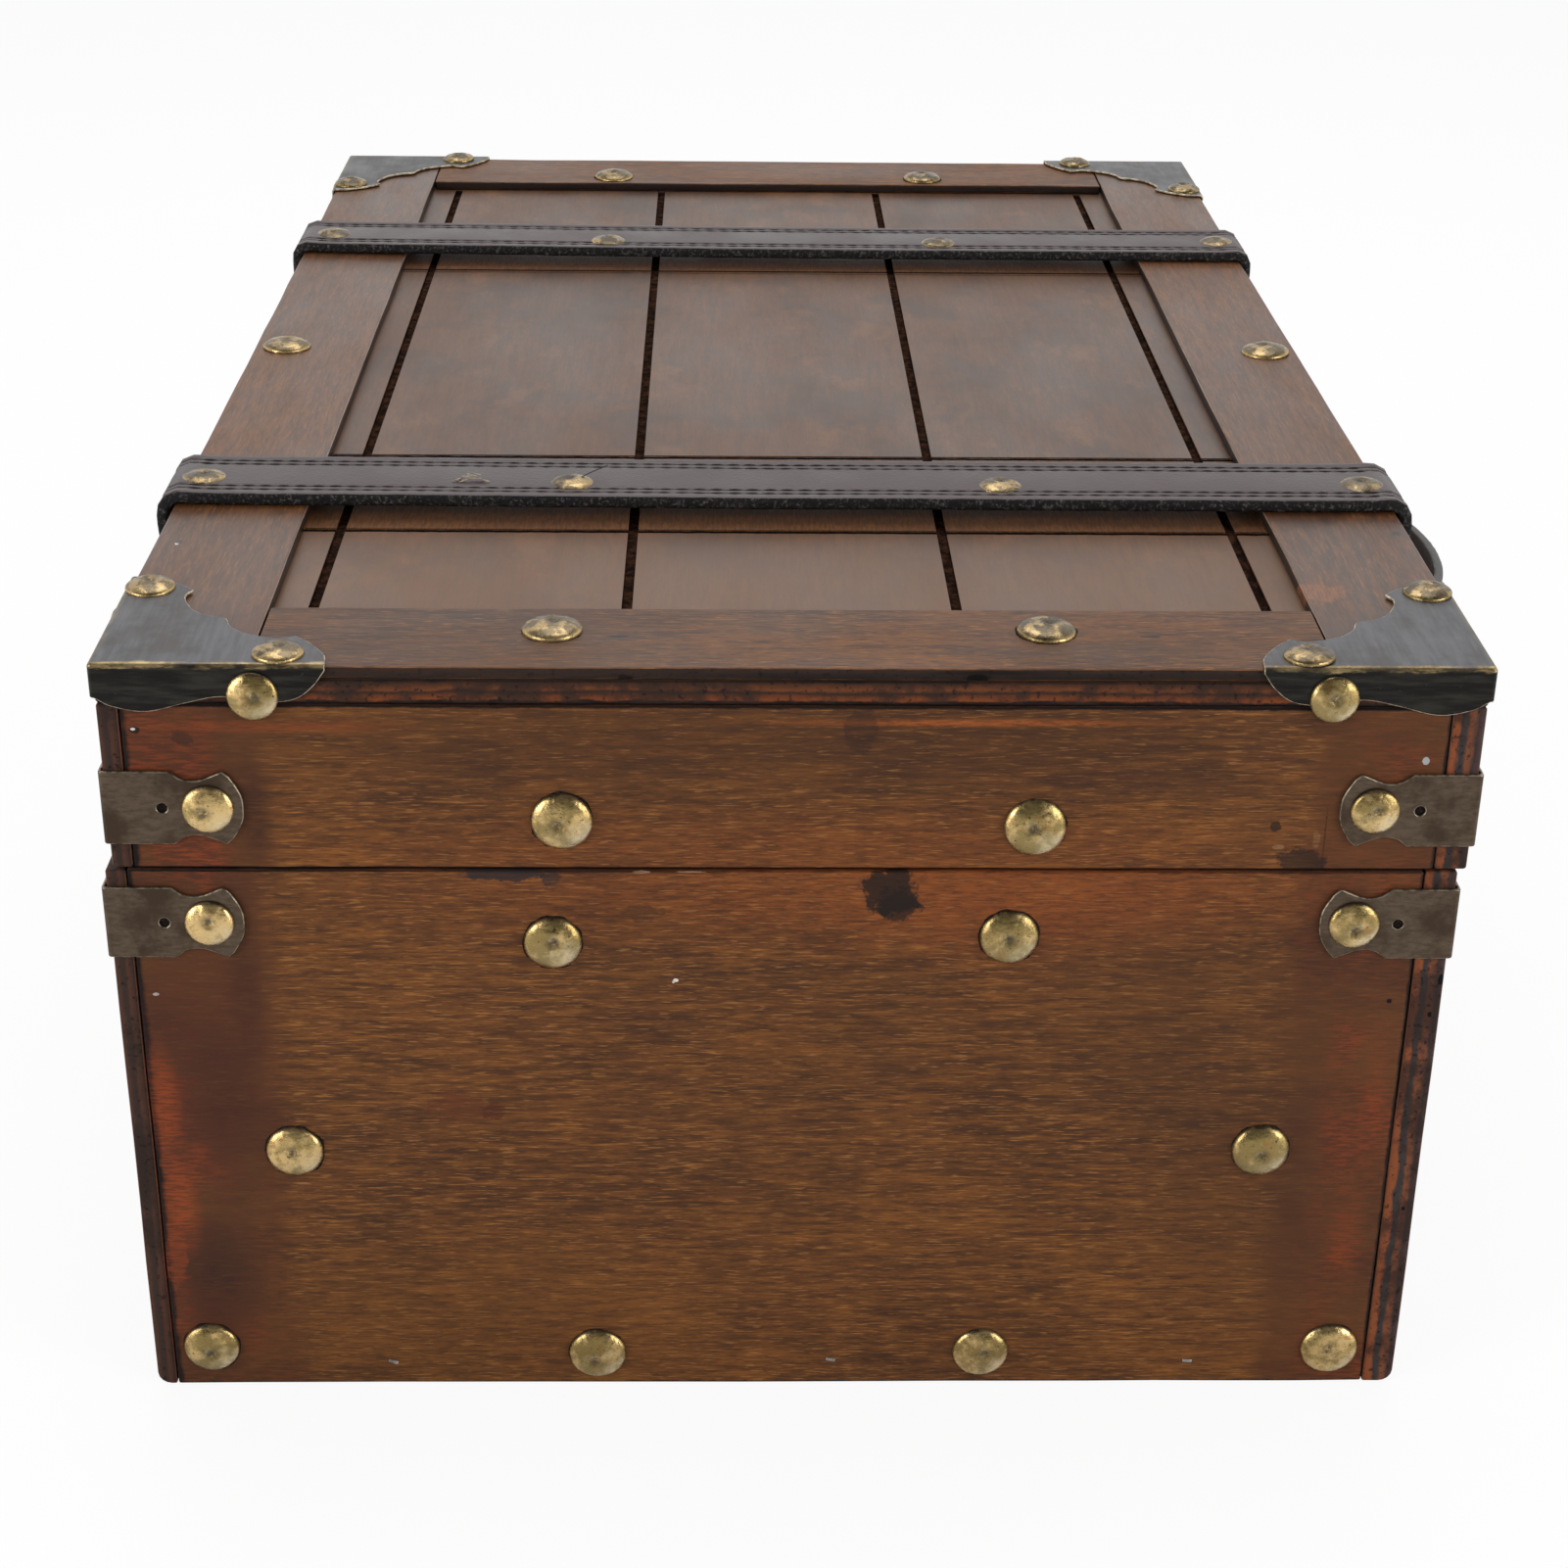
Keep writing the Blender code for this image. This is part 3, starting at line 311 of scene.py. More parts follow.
def dark_line(made, axis, position, width, ragged):
    """1 within a width of a place along an axis, with a ragged edge."""
    apart = made.apart(made.axis(axis), position)
    return made.between(made.times_plus(ragged, width, apart), width * 1.9, width * 0.8)


def wood(name, grain, face, low, high, layers, shift=0.0, sides=None, lines=(), spots=(), gloss=0.40,
         specular=0.5, crisp=0.5, arris=None):
    """A stained plywood board. Its face shows veneer, and its cut edges show the layers.

    Sides gives where the stain darkens and reddens towards the board's edges. Lines are black seams, as
    (axis, position, width). Spots are blots, as (centre, size, colour, share). Arris is an edge with a thin
    pale line painted along it as a highlight, as (axis, position)."""
    made = Finish(name)
    colour, fibres, clouds = veneer(made, grain, shift, crisp)
    rough_edge = made.noise(150, None, 5, 0.75)
    patches = made.noise(34, None, 5, 0.65)
    mottled = made.between(patches, 0.46, 0.70)
    colour = made.mixed(made.times(mottled, 0.28), colour, DARK_WOOD)
    if sides:
        axis, middle, start, end = sides
        out = made.apart(made.axis(axis), middle)
        out = made.times_plus(made.minus(patches, 0.5), 0.016, out)
        near_edge = made.between(out, start, (start + end) / 2)
        streaked = made.mixed(made.between(fibres, 0.35, 0.65), DARK_WOOD, MAHOGANY)
        streaked = made.mixed(made.between(clouds, 0.42, 0.60, 0.0, 0.5), streaked, BROWN_WOOD)
        colour = made.mixed(made.times(near_edge, 0.80), colour, streaked)
        outermost = made.between(out, (start + 2 * end) / 3, end)
        red = made.between(made.noise(20, None, 4, 0.6), 0.46, 0.62, 0.0, 0.70)
        reddened = made.mixed(made.between(fibres, 0.42, 0.62), MAHOGANY, RED_WOOD)
        colour = made.mixed(made.times(outermost, red), colour, reddened)
    ragged = made.times(made.minus(rough_edge, 0.5), 2.6)
    for axis, position, width in lines:
        colour = made.mixed(dark_line(made, axis, position, width, ragged), colour, (0.006, 0.005, 0.005))
    on_edge = made.sums("ABSOLUTE", made.turned(face))
    on_edge = made.between(on_edge, 0.75, 0.45)
    colour = made.mixed(on_edge, colour, plies(made, face, low, high, layers))
    for centre, size, tint, share in spots:
        blot = made.times(made.spot(centre, size, ragged), share)
        if share <= STREAKED_SHARE:
            blot = made.times(blot, made.between(fibres, 0.38, 0.60, 0.45, 1.3))
        colour = made.mixed(blot, colour, tint)
    if arris:
        # A thin pale line along the arris: a painted highlight.
        brightened = made.times(dark_line(made, *arris, 0.0002, ragged), 0.60)
        brightened = made.times(brightened, made.minus(1.0, on_edge))
        colour = made.mixed(brightened, colour, (0.36, 0.26, 0.19))
    made.set(colour=colour, specular=made.times_plus(on_edge, 0.08 - specular, specular))
    made.set(roughness=made.between(clouds, 0.3, 0.75, gloss - 0.06, gloss + 0.12))
    height = made.times_plus(fibres, 0.6, made.times(patches, 0.25))
    made.bump(height, 0.00012, 0.5)
    return made.material


def make_leather(name, tone, sheen_tone, roughness):
    made = Finish(name)
    cells = made.cells(1100)
    grain = made.noise(2400, None, 2)
    clouds = made.noise(30, None, 4, 0.6)
    wear = made.noise(220, None, 4, 0.7)
    colour = made.mixed(made.between(clouds, 0.35, 0.7), tone, sheen_tone)
    colour = made.over(colour, wear, 0.64, 0.82, (0.10, 0.08, 0.075), 0.4)
    # The stitch furrows are painted near black, a painted shade in the creases, with less shine there.
    furrow_shade = made.between(made.carried("furrow_shade"), 0.25, 0.70)
    furrow_shade = made.times(furrow_shade, made.between(wear, 0.66, 0.50, 0.35))
    colour = made.mixed(furrow_shade, colour, (0.008, 0.006, 0.006))
    made.set(colour=colour, specular=made.times_plus(furrow_shade, -0.42, 0.5))
    made.set(roughness=made.between(clouds, 0.3, 0.7, roughness - 0.05, roughness + 0.10))
    made.bump(made.times_plus(grain, 0.4, cells), 0.00012, 0.55)
    return made.material


def make_rough_edge():
    """The strap's painted cut edge, which is black and crumbly."""
    made = Finish("leather_edge")
    crumbs = made.noise(900, None, 5, 0.75)
    lumps = made.noise(260, made.stretched((1, 0.5, 1)), 4, 0.6)
    colour = made.mixed(made.between(crumbs, 0.50, 0.70), (0.008, 0.007, 0.007), (0.105, 0.094, 0.090))
    made.set(colour=colour, roughness=0.70, specular=0.2)
    made.bump(made.sums("ADD", crumbs, lumps), 0.0004, 0.8)
    return made.material


def make_brass(name, shine, dull, pits, roughness):
    """Antique brass: bright where it is worn, brown where it isn't, and pitted. Painted shade darkens the
    parts that face up and the foot of each stud, and a painted reflection of the floor pales the parts that
    face down.
    """
    made = Finish(name)
    clouds = made.noise(170, None, 5, 0.65)
    specks = made.noise(950, None, 4, 0.7)
    scratches = made.noise(1500, made.stretched((1, 0.25, 1)), 3, 0.6)
    tarnish = made.carried("tarnish")
    brightened = made.minus(clouds, made.times(made.minus(tarnish, 0.5), 0.20))
    browned = made.noise(240, None, 4, 0.7)
    dulled = made.noise(420, None, 4, 0.7)
    colour = made.mixed(made.between(brightened, 0.38, 0.60), dull, shine)
    colour = made.over(colour, browned, 0.54, 0.68, BROWN_BRASS, 0.7)
    colour = made.over(colour, dulled, 0.56, 0.70, dull, 0.7)
    colour = made.over(colour, specks, 0.60, 0.68, pits, 0.9)
    # Parts that face up take a darker colour: painted shade against the bright reflection from above.
    upward = made.between(made.turned("Z"), 0.35, 0.90, 0.0, 0.85)
    tops = made.between(made.noise(210, None, 4, 0.6), 0.48, 0.58)
    shaded_top_colour = made.mixed(tops, (0.070, 0.061, 0.052), (0.36, 0.26, 0.135))
    colour = made.mixed(upward, colour, shaded_top_colour)
    # Parts that face down and towards -Y turn pale: a painted reflection of the floor.
    downward = made.between(made.turned("Z"), 0.10, -0.30)
    painted_floor_reflection = made.times(downward, made.between(made.turned("Y"), 0.12, -0.30, 0.10, 0.70))
    painted_floor_reflection = made.times(painted_floor_reflection, made.between(clouds, 0.36, 0.52, 0.35))
    colour = made.mixed(painted_floor_reflection, colour, (0.86, 0.74, 0.50))
    # Crust in each stud's dimple, and painted shade round its foot, from the carried dent layer.
    crust_and_shade = made.times(made.carried("dent"), made.between(specks, 0.34, 0.52))
    colour = made.mixed(crust_and_shade, colour, pits)
    made.set(colour=colour, metallic=made.times_plus(crust_and_shade, -0.6, 1.0))
    rough = made.between(scratches, 0.3, 0.7, roughness, roughness + 0.16)
    made.set(roughness=made.times_plus(crust_and_shade, 0.3, rough))
    height = made.times_plus(specks, -0.6, made.noise(420, None, 3))
    made.bump(height, 0.00022, 0.7)
    return made.material


def make_plate_metal():
    """Blued sheet steel: brushed grey on top, near black down the sides, and worn to brass along its folds.
    """
    made = Finish("plate_metal")
    brushed = made.noise(700, made.stretched((0.10, 1, 1)), 4, 0.6)
    crossed = made.noise(500, made.stretched((1, 0.12, 1)), 4, 0.6)
    clouds = made.noise(60, None, 5, 0.6)
    flecks = made.noise(1300, None, 4, 0.75)
    top = made.mixed(made.between(brushed, 0.3, 0.7), (0.098, 0.097, 0.102), (0.135, 0.134, 0.140))
    top = made.over(top, clouds, 0.50, 0.70, (0.098, 0.086, 0.078), 0.7)
    side = made.mixed(made.between(crossed, 0.40, 0.66), (0.020, 0.019, 0.018), (0.042, 0.039, 0.033))
    side = made.over(side, flecks, 0.69, 0.74, (0.26, 0.22, 0.14), 0.9)
    upward = made.between(made.turned("Z"), 0.45, 0.85)
    colour = made.mixed(upward, side, top)
    scraped = made.noise(420, made.stretched((0.25, 0.25, 1)), 4, 0.75)
    ragged = made.times(made.minus(scraped, 0.5), 0.0026)
    out_x = made.sums("ABSOLUTE", made.axis("X"))
    out_y = made.apart(made.axis("Y"), LID_MIDDLE)
    near_top = made.between(made.sums("ADD", made.axis("Z"), ragged), TOP - 0.0003, TOP + 0.0006)
    worn = made.times(near_top, made.between(made.turned("Z"), 0.97, 0.80))
    for out, limit, share in ((out_x, END_X, 0.85), (out_y, HALF_WIDTH, 0.15)):
        edge = made.between(made.sums("ADD", out, ragged), limit - 0.0008, limit + 0.0002)
        worn = made.largest(worn, made.times(edge, made.times(upward, share)))
    patchy = made.between(made.noise(110, None, 4, 0.6), 0.36, 0.56, 0.25)
    bright = made.mixed(made.between(scraped, 0.40, 0.62), (0.22, 0.155, 0.075), (0.52, 0.385, 0.190))
    colour = made.mixed(made.times(worn, patchy), colour, bright)
    made.set(colour=colour, metallic=1.0)
    made.set(roughness=made.between(clouds, 0.3, 0.7, 0.34, 0.50))
    made.bump(made.times_plus(brushed, 0.3, made.times(clouds, 2.0)), 0.00008, 0.4)
    return made.material


def make_bronze():
    made = Finish("bronze_metal")
    brushed = made.noise(1300, made.stretched((0.3, 0.3, 1)), 3, 0.6)
    clouds = made.noise(75, None, 4, 0.6)
    marks = made.noise(700, None, 4, 0.7)
    colour = made.mixed(made.between(brushed, 0.30, 0.70), (0.086, 0.060, 0.042), (0.132, 0.096, 0.068))
    colour = made.over(colour, clouds, 0.46, 0.66, (0.066, 0.045, 0.031))
    colour = made.over(colour, marks, 0.68, 0.76, (0.030, 0.024, 0.018), 0.8)
    made.set(colour=colour, metallic=1.0)
    made.set(roughness=made.between(clouds, 0.3, 0.7, 0.34, 0.48))
    made.bump(made.sums("ADD", brushed, clouds), 0.00008, 0.5)
    return made.material


def make_cut_edge(name, bright, dark):
    """The bare edge of cut sheet metal."""
    made = Finish(name)
    wear = made.noise(420, None, 4, 0.7)
    colour = made.mixed(made.between(wear, 0.42, 0.62), bright, dark)
    made.set(colour=colour, metallic=0.9, roughness=0.42)
    return made.material


def make_grime_and_shade():
    """The dark ring round each stud, part wax and part painted shade, and the painted shadow in the brackets'
    holes.
    """
    made = Finish("grime_and_shade")
    crumbs = made.noise(1200, None, 4, 0.7)
    colour = made.mixed(made.between(crumbs, 0.48, 0.7), (0.008, 0.006, 0.005), (0.046, 0.022, 0.014))
    made.set(colour=colour, roughness=0.75, specular=0.08)
    made.bump(crumbs, 0.0003, 0.7)
    return made.material


def make_thread(name, tone):
    made = Finish(name)
    twist = made.add("ShaderNodeTexWave", {"Vector": made.place, "Scale": 420.0, "Distortion": 1.0})
    colour = made.mixed(twist.outputs["Fac"], tone, [c * 2.2 for c in tone])
    made.set(colour=colour, roughness=0.7, specular=0.3)
    made.bump(twist.outputs["Fac"], 0.0002, 0.6)
    return made.material


# Mesh helpers


def as_object(name, bm, *finishes, smooth=40):
    bmesh.ops.recalc_face_normals(bm, faces=bm.faces)
    mesh = bpy.data.meshes.new(name)
    bm.to_mesh(mesh)
    bm.free()
    obj = bpy.data.objects.new(name, mesh)
    bpy.context.scene.collection.objects.link(obj)
    for finish in finishes:
        mesh.materials.append(finish)
    mesh.shade_smooth()
    mesh.set_sharp_from_angle(angle=math.radians(smooth))
    return obj


def attach(obj, body, slot, *replaced):
    """Puts a finished piece on the body that carries it, in place of the nodes that it stands for."""
    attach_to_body(obj, body)
    if replaced:
        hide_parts(*replaced)


def bevelled(obj, width, segments=2, angle=40):
    modifier = obj.modifiers.new("rounded_edges", "BEVEL")
    modifier.width = width
    modifier.segments = segments
    modifier.limit_method = "ANGLE"
    modifier.angle_limit = math.radians(angle)
    return modifier


def with_flat_faces(obj):
    """Lets the large faces keep their own shading beside rounded edges."""
    modifier = obj.modifiers.new("flat_faces", "WEIGHTED_NORMAL")
    modifier.keep_sharp = True
    modifier.weight = 100


def apply_modifiers(obj):
    """Turns the object's mesh into what its modifiers make of it."""
    graph = bpy.context.evaluated_depsgraph_get()
    made = bpy.data.meshes.new_from_object(obj.evaluated_get(graph))
    old = obj.data
    obj.modifiers.clear()
    obj.data = made
    made.name = old.name
    bpy.data.meshes.remove(old)


def cut(obj, outline, axis, low, high):
    """Cuts a prism out of the object."""
    cutter = as_object("cutter", prism(outline, axis, low, high))
    modifier = obj.modifiers.new("cut", "BOOLEAN")
    modifier.operation = "DIFFERENCE"
    modifier.object = cutter
    modifier.solver = "EXACT"
    apply_modifiers(obj)
    bpy.data.objects.remove(cutter)


def join_rings(bm, rings, closed=False):
    """Skins a row of rings with as many points each. It gives back each face with its place in the ring."""
    made = []
    following = [*rings[1:], rings[0]] if closed else rings[1:]
    for ring, other in zip(rings, following):
        count = len(ring)
        for i in range(count):
            j = (i + 1) % count
            made.append((i, bm.faces.new((ring[i], ring[j], other[j], other[i]))))
    return made


def add_prism(bm, outline, axis, low, high):
    rings = []
    for c in (low, high):
        places = [{"X": (c, a, b), "Y": (a, c, b), "Z": (a, b, c)}[axis] for a, b in outline]
        rings.append([bm.verts.new(place) for place in places])
    bm.faces.new(rings[0])
    bm.faces.new(rings[1])
    join_rings(bm, rings)


def prism(outline, axis, low, high):
    bm = bmesh.new()
    add_prism(bm, outline, axis, low, high)
    return bm


def rectangle(low_a, high_a, low_b, high_b):
    return [(low_a, low_b), (high_a, low_b), (high_a, high_b), (low_a, high_b)]


def arc(centre, radius, start, end, steps):
    angles = [start + (end - start) * i / steps for i in range(steps + 1)]
    return [(centre[0] + radius * math.cos(t), centre[1] + radius * math.sin(t)) for t in angles]


def round_rectangle(centre, half_a, half_b, radius, steps):
    points = []
    for side_a, side_b, start in ((1, -1, -1), (1, 1, 0), (-1, 1, 1), (-1, -1, 2)):
        corner = (centre[0] + side_a * (half_a - radius), centre[1] + side_b * (half_b - radius))
        points += arc(corner, radius, math.pi / 2 * start, math.pi / 2 * (start + 1), steps)
    return points


def curve_through(points, steps):
    """Points on a smooth curve through the given ones, with that many steps between two of them."""
    points = [Vector(p) for p in points]
    ends = [2 * points[0] - points[1], *points, 2 * points[-1] - points[-2]]
    found = []
    for before, start, end, after in zip(ends, ends[1:], ends[2:], ends[3:]):
        for k in range(steps):
            t = k / steps
            bend = (2 * before - 5 * start + 4 * end - after) * t * t
            twist = (3 * start - before - 3 * end + after) * t**3
            found.append((2 * start + (end - before) * t + bend + twist) / 2)
    return [tuple(p) for p in [*found, points[-1]]]


def slice_across(bm, axis, low, high, count):
    """Cuts the mesh across into equal slices along an axis, so that it can bend or be shaken there."""
    normal = Vector(AXES[axis])
    for k in range(1, count):
        geometry = bm.verts[:] + bm.edges[:] + bm.faces[:]
        place = normal * (low + (high - low) * k / count)
        bmesh.ops.bisect_plane(bm, geom=geometry, plane_co=place, plane_no=normal, dist=1e-6)


BOARD_STEP = 0.018
BOARD_WANDER = 0.00022
BOARD_WANDER_SIZE = 0.035
BOARD_ROUNDING = 0.0006


def board(name, outline, axis, low, high, finish, body, *replaced, seed=0.0):
    """A board with softly rounded edges that wander a little."""
    bm = prism(outline, axis, low, high)
    for i, sliced in enumerate("XYZ"):
        places = [vert.co[i] for vert in bm.verts]
        start, end = min(places), max(places)
        slice_across(bm, sliced, start, end, int((end - start) / BOARD_STEP))
    shift = Vector((seed, seed * 2, seed * 3))
    for vert in bm.verts:
        vert.co += noise.noise_vector(vert.co / BOARD_WANDER_SIZE + shift) * BOARD_WANDER
    obj = as_object(name, bm, finish)
    bevelled(obj, BOARD_ROUNDING, 3, 50)
    with_flat_faces(obj)
    attach(obj, body, "stained_wood", *replaced)


# Studs

STUD_RADIUS = 0.0074
SMALL_STUD_RADIUS = 0.0061
STUD_DOME_SHARE = 0.35
STUD_SEGMENTS = 32
STUD_RINGS = 10
DIMPLE_RADIUS = 0.0012
DIMPLE_DEPTH = 0.00042
STUD_SUNK = 0.0003
STUD_TILT = 2.5
STUD_RIM = 0.0005
GRIME_AND_SHADE_WIDTH = 0.0002
GRIME_AND_SHADE_HEIGHT = 0.00012
GRIME_AND_SHADE_WANDER = 0.0007
GRIME_AND_SHADE_SLOPE = 0.0004
# Hammer marks in two sizes, as (how fine, how deep)
STUD_DENTS = ((380, 0.00022), (1100, 0.00009))

stud_random = random.Random(7)


def stud_height(share):
    """The dome's height at a share of its radius, as a share of its full height."""
    return (1 - share**2.6) ** 0.62


def round_stud(count):
    """Directions round a stud, in the plane that it stands on."""
    turns = [math.tau * i / count for i in range(count)]
    return [Vector((math.cos(turn), math.sin(turn), 0)) for turn in turns]


def add_stud(bm, foot, outward, radius, grime_and_shade):
    """Adds a hammered stud head whose rim lies at the foot, and a dark ring of dirt and painted shade round
    it if there is wood.
    """
    foot = Vector(foot)
    turn = Vector((0, 0, 1)).rotation_difference(Vector(outward)).to_matrix()
    turn = turn @ Matrix.Rotation(stud_random.uniform(0, math.tau), 3, "Z")
    tilt = Matrix.Rotation(math.radians(stud_random.uniform(-STUD_TILT, STUD_TILT)), 3, "X")
    size = stud_random.uniform(0.97, 1.03)
    dome = radius * STUD_DOME_SHARE
    dimple = Vector((stud_random.uniform(-0.0010, 0.0010), stud_random.uniform(-0.0010, 0.0010), 0))
    seed = Vector((stud_random.uniform(0, 50), stud_random.uniform(0, 50), 0))
    tarnish = stud_random.uniform(0.0, 1.0)
    shares = [math.sin(math.pi / 2 * (1 - i / STUD_RINGS)) for i in range(STUD_RINGS)]
    crust_and_shade_layer = bm.verts.layers.float["dent"]
    tarnish_layer = bm.verts.layers.float["tarnish"]
    rings = []
    for index, share in enumerate([1.0, *shares, 0.13, 0.07]):
        ring = []
        for side in round_stud(STUD_SEGMENTS):
            flat = side * radius * share * size
            height = 0.0
            if index:
                dent = sum(noise.noise(flat * fine + seed) * deep for fine, deep in STUD_DENTS)
                height = STUD_RIM + stud_height(share) * (dome - STUD_RIM)
                height += dent * min(1.0, (1 - share) * 5)
            from_dimple = (flat - dimple).length / DIMPLE_RADIUS
            height -= DIMPLE_DEPTH * math.exp(-(from_dimple**2))
            height += DIMPLE_DEPTH * 0.5 * math.exp(-((from_dimple - 1.8) ** 2) * 4)
            vert = bm.verts.new(foot + turn @ (tilt @ (flat + Vector((0, 0, height)))))
            # The two outer rings, at the foot of the dome, are marked for painted shade, and the dimple's
            # hollow for crust.
            shaded_skirt = (1.0, 0.35)[index] if index < 2 else 0.0
            vert[crust_and_shade_layer] = max(shaded_skirt, 0.85 * math.exp(-(max(from_dimple - 0.5, 0.0) ** 2)))
            vert[tarnish_layer] = tarnish
            ring.append(vert)
        rings.append(ring)
    join_rings(bm, rings)
    bm.faces.new(rings[-1])
    bm.faces.new(list(reversed(rings[0])))
    if not grime_and_shade:
        return
    # A dark ring round the foot on the wood: dirt, and painted shade in the gap under the rim.
    low, high = [], []
    for side in round_stud(STUD_SEGMENTS):
        reach = radius + GRIME_AND_SHADE_WIDTH + noise.noise(side * 2.5 + seed) * GRIME_AND_SHADE_WANDER
        low.append(bm.verts.new(foot + turn @ (side * reach)))
        above = side * (reach - GRIME_AND_SHADE_SLOPE) + Vector((0, 0, GRIME_AND_SHADE_HEIGHT))
        high.append(bm.verts.new(foot + turn @ above))
    faces = [face for _, face in join_rings(bm, [low, high])]
    faces += [bm.faces.new(high), bm.faces.new(list(reversed(low)))]
    for face in faces:
        face.material_index = 1


def make_studs(name, places, body, radius=SMALL_STUD_RADIUS, replaced=()):
    """One piece for the studs of a carrier. Each place is a point on its surface and the way out of it.

    The big studs are in bare wood, and get a dark ring of dirt and painted shade round them."""
    bm = bmesh.new()
    for layer in ("dent", "tarnish"):
        bm.verts.layers.float.new(layer)
    for point, outward in places:
        add_stud(bm, point, outward, radius, radius == STUD_RADIUS)
    obj = as_object(name, bm, BRASS, GRIME_AND_SHADE, smooth=60)
    attach(obj, body, "antique_brass", *replaced)


# Finishes in use

BRASS = make_brass("antique_brass", (0.74, 0.52, 0.225), (0.31, 0.225, 0.085), (0.040, 0.028, 0.018), 0.20)
GRIME_AND_SHADE = make_grime_and_shade()
PLATE_METAL = make_plate_metal()
BRONZE = make_bronze()
PLATE_EDGE = make_cut_edge("plate_cut_edge", (0.62, 0.54, 0.40), (0.22, 0.18, 0.13))
BRACKET_EDGE = make_cut_edge("bracket_cut_edge", (0.34, 0.29, 0.21), (0.10, 0.085, 0.065))
LEATHER = make_leather("leather", (0.034, 0.014, 0.015), (0.050, 0.026, 0.027), 0.36)
HANDLE_LEATHER = make_leather("handle_leather", (0.022, 0.020, 0.020), (0.050, 0.047, 0.047), 0.42)
LEATHER_EDGE = make_rough_edge()
HANDLE_EDGE = make_leather("handle_edge", (0.050, 0.047, 0.046), (0.085, 0.080, 0.078), 0.44)
THREAD = make_thread("stitch_thread", (0.012, 0.009, 0.008))


# Wood

# How far the near rail's studs lie from their solids
NEAR_RAIL_STUDS_OFF = Vector((0.0018, -0.0014, 0))
# Studs in both ends, as they lie on the near one: across from the middle, and up
BASE_END_STUDS = ((0.0569, 0.1344), (-0.0556, 0.1362), (0.1241, 0.0736), (-0.1232, 0.0738),
                  (0.1499, 0.0122), (0.0480, 0.0100), (-0.0537, 0.0102), (-0.1469, 0.0112))
LID_END_STUDS = ((0.0540, 0.1678), (-0.0605, 0.1665))
# Studs in the base's long sides: out from the middle, and up
BASE_SIDE_STUDS = ((STRAP_X - 0.042, 0.0112), (END_X - 0.0165, 0.0112), (END_X - 0.041, 0.0738))
SIDE_STUD_WANDER = 0.0012
LID_SIDE_STUD_OUT = 0.057
LID_SIDE_STUD_UP = 0.0121


def wall_outline(side, outer, inner, low, high, worn):
    """A long wall's outline in Y and Z. Its lower outer edge is worn round where it meets the ground."""
    inward = outer - side * worn
    outline = [(inner, high), (inner, low), (inward, low)]
    for i in range(1, 5):
        turned = math.pi / 2 * i / 4
        outline.append((inward + side * worn * math.sin(turned), low + worn * (1 - math.cos(turned))))
    outline.append((outer, high))
    return outline


def near_end_spots(*rows):
    """Blots on the near end. A row has a middle in Y and Z, half of each size, a colour and a share."""
    return [((-END_X, y, z), (0, half_y, half_z), *rest) for y, z, half_y, half_z, *rest in rows]


END_SPOTS = near_end_spots(
    (-0.0300, 0.1500, 0.1300, 0.0170, (0.240, 0.066, 0.016), 0.36),
    (-0.0600, 0.1480, 0.0500, 0.0200, (0.240, 0.060, 0.015), 0.28),
    (0.0850, 0.0200, 0.0700, 0.0300, (0.150, 0.058, 0.014), 0.35),
    (-0.0900, 0.1100, 0.0300, 0.0350, DARK_WOOD, 0.30),
    (-0.1180, 0.0650, 0.0260, 0.0600, DARK_WOOD, 0.40),
    (-0.0265, 0.1490, 0.0068, 0.0066, STAIN, 0.88),
    (-0.0280, 0.1450, 0.0045, 0.0050, STAIN, 0.80),
    (0.0680, 0.1532, 0.0095, 0.0018, BLUE_BLACK, 0.78),
    (0.0570, 0.1522, 0.0028, 0.0026, BLUE_BLACK, 0.62),
    (0.0480, 0.1540, 0.0300, 0.0008, STAIN, 0.62),
    (0.0350, 0.1538, 0.0022, 0.0003, BARE_CHIP, 0.55),
    (0.0230, 0.1539, 0.0032, 0.0002, BARE_CHIP, 0.50),
    (0.0350, 0.1425, 0.0060, 0.0022, DARK_WOOD, 0.55),
    (0.1470, 0.0300, 0.0120, 0.0230, (0.026, 0.013, 0.010), 0.62),
    (0.1400, 0.0850, 0.0090, 0.0250, (0.034, 0.015, 0.010), 0.50),
    (0.1333, 0.1238, 0.0050, 0.0280, (0.036, 0.015, 0.010), 0.50),
    (-0.1518, 0.1179, 0.0007, 0.0007, (0.005, 0.004, 0.004), 1.0),
    (0.0267, 0.1236, 0.0005, 0.0004, (0.62, 0.56, 0.50), 1.0),
    (0.0273, 0.1231, 0.0003, 0.0003, (0.50, 0.42, 0.36), 1.0),
    (0.1555, 0.1195, 0.0007, 0.0004, (0.45, 0.40, 0.38), 0.9),
    (0.0815, 0.0867, 0.0080, 0.0045, (0.085, 0.022, 0.012), 0.45),
    (0.0735, 0.0855, 0.0030, 0.0025, (0.060, 0.014, 0.010), 0.55),
    (0.1440, 0.1050, 0.0180, 0.0350, (0.062, 0.017, 0.011), 0.45),
    (0.1560, 0.0880, 0.0038, 0.0160, BRIGHT_RED, 0.46),
    (0.1540, 0.0560, 0.0045, 0.0130, BRIGHT_RED, 0.46),
    (0.1570, 0.0400, 0.0030, 0.0100, RED_WOOD, 0.45),
    (-0.1510, 0.0900, 0.0035, 0.0200, RED_WOOD, 0.30),
    (-0.1480, 0.0480, 0.0045, 0.0150, RED_WOOD, 0.35),
)
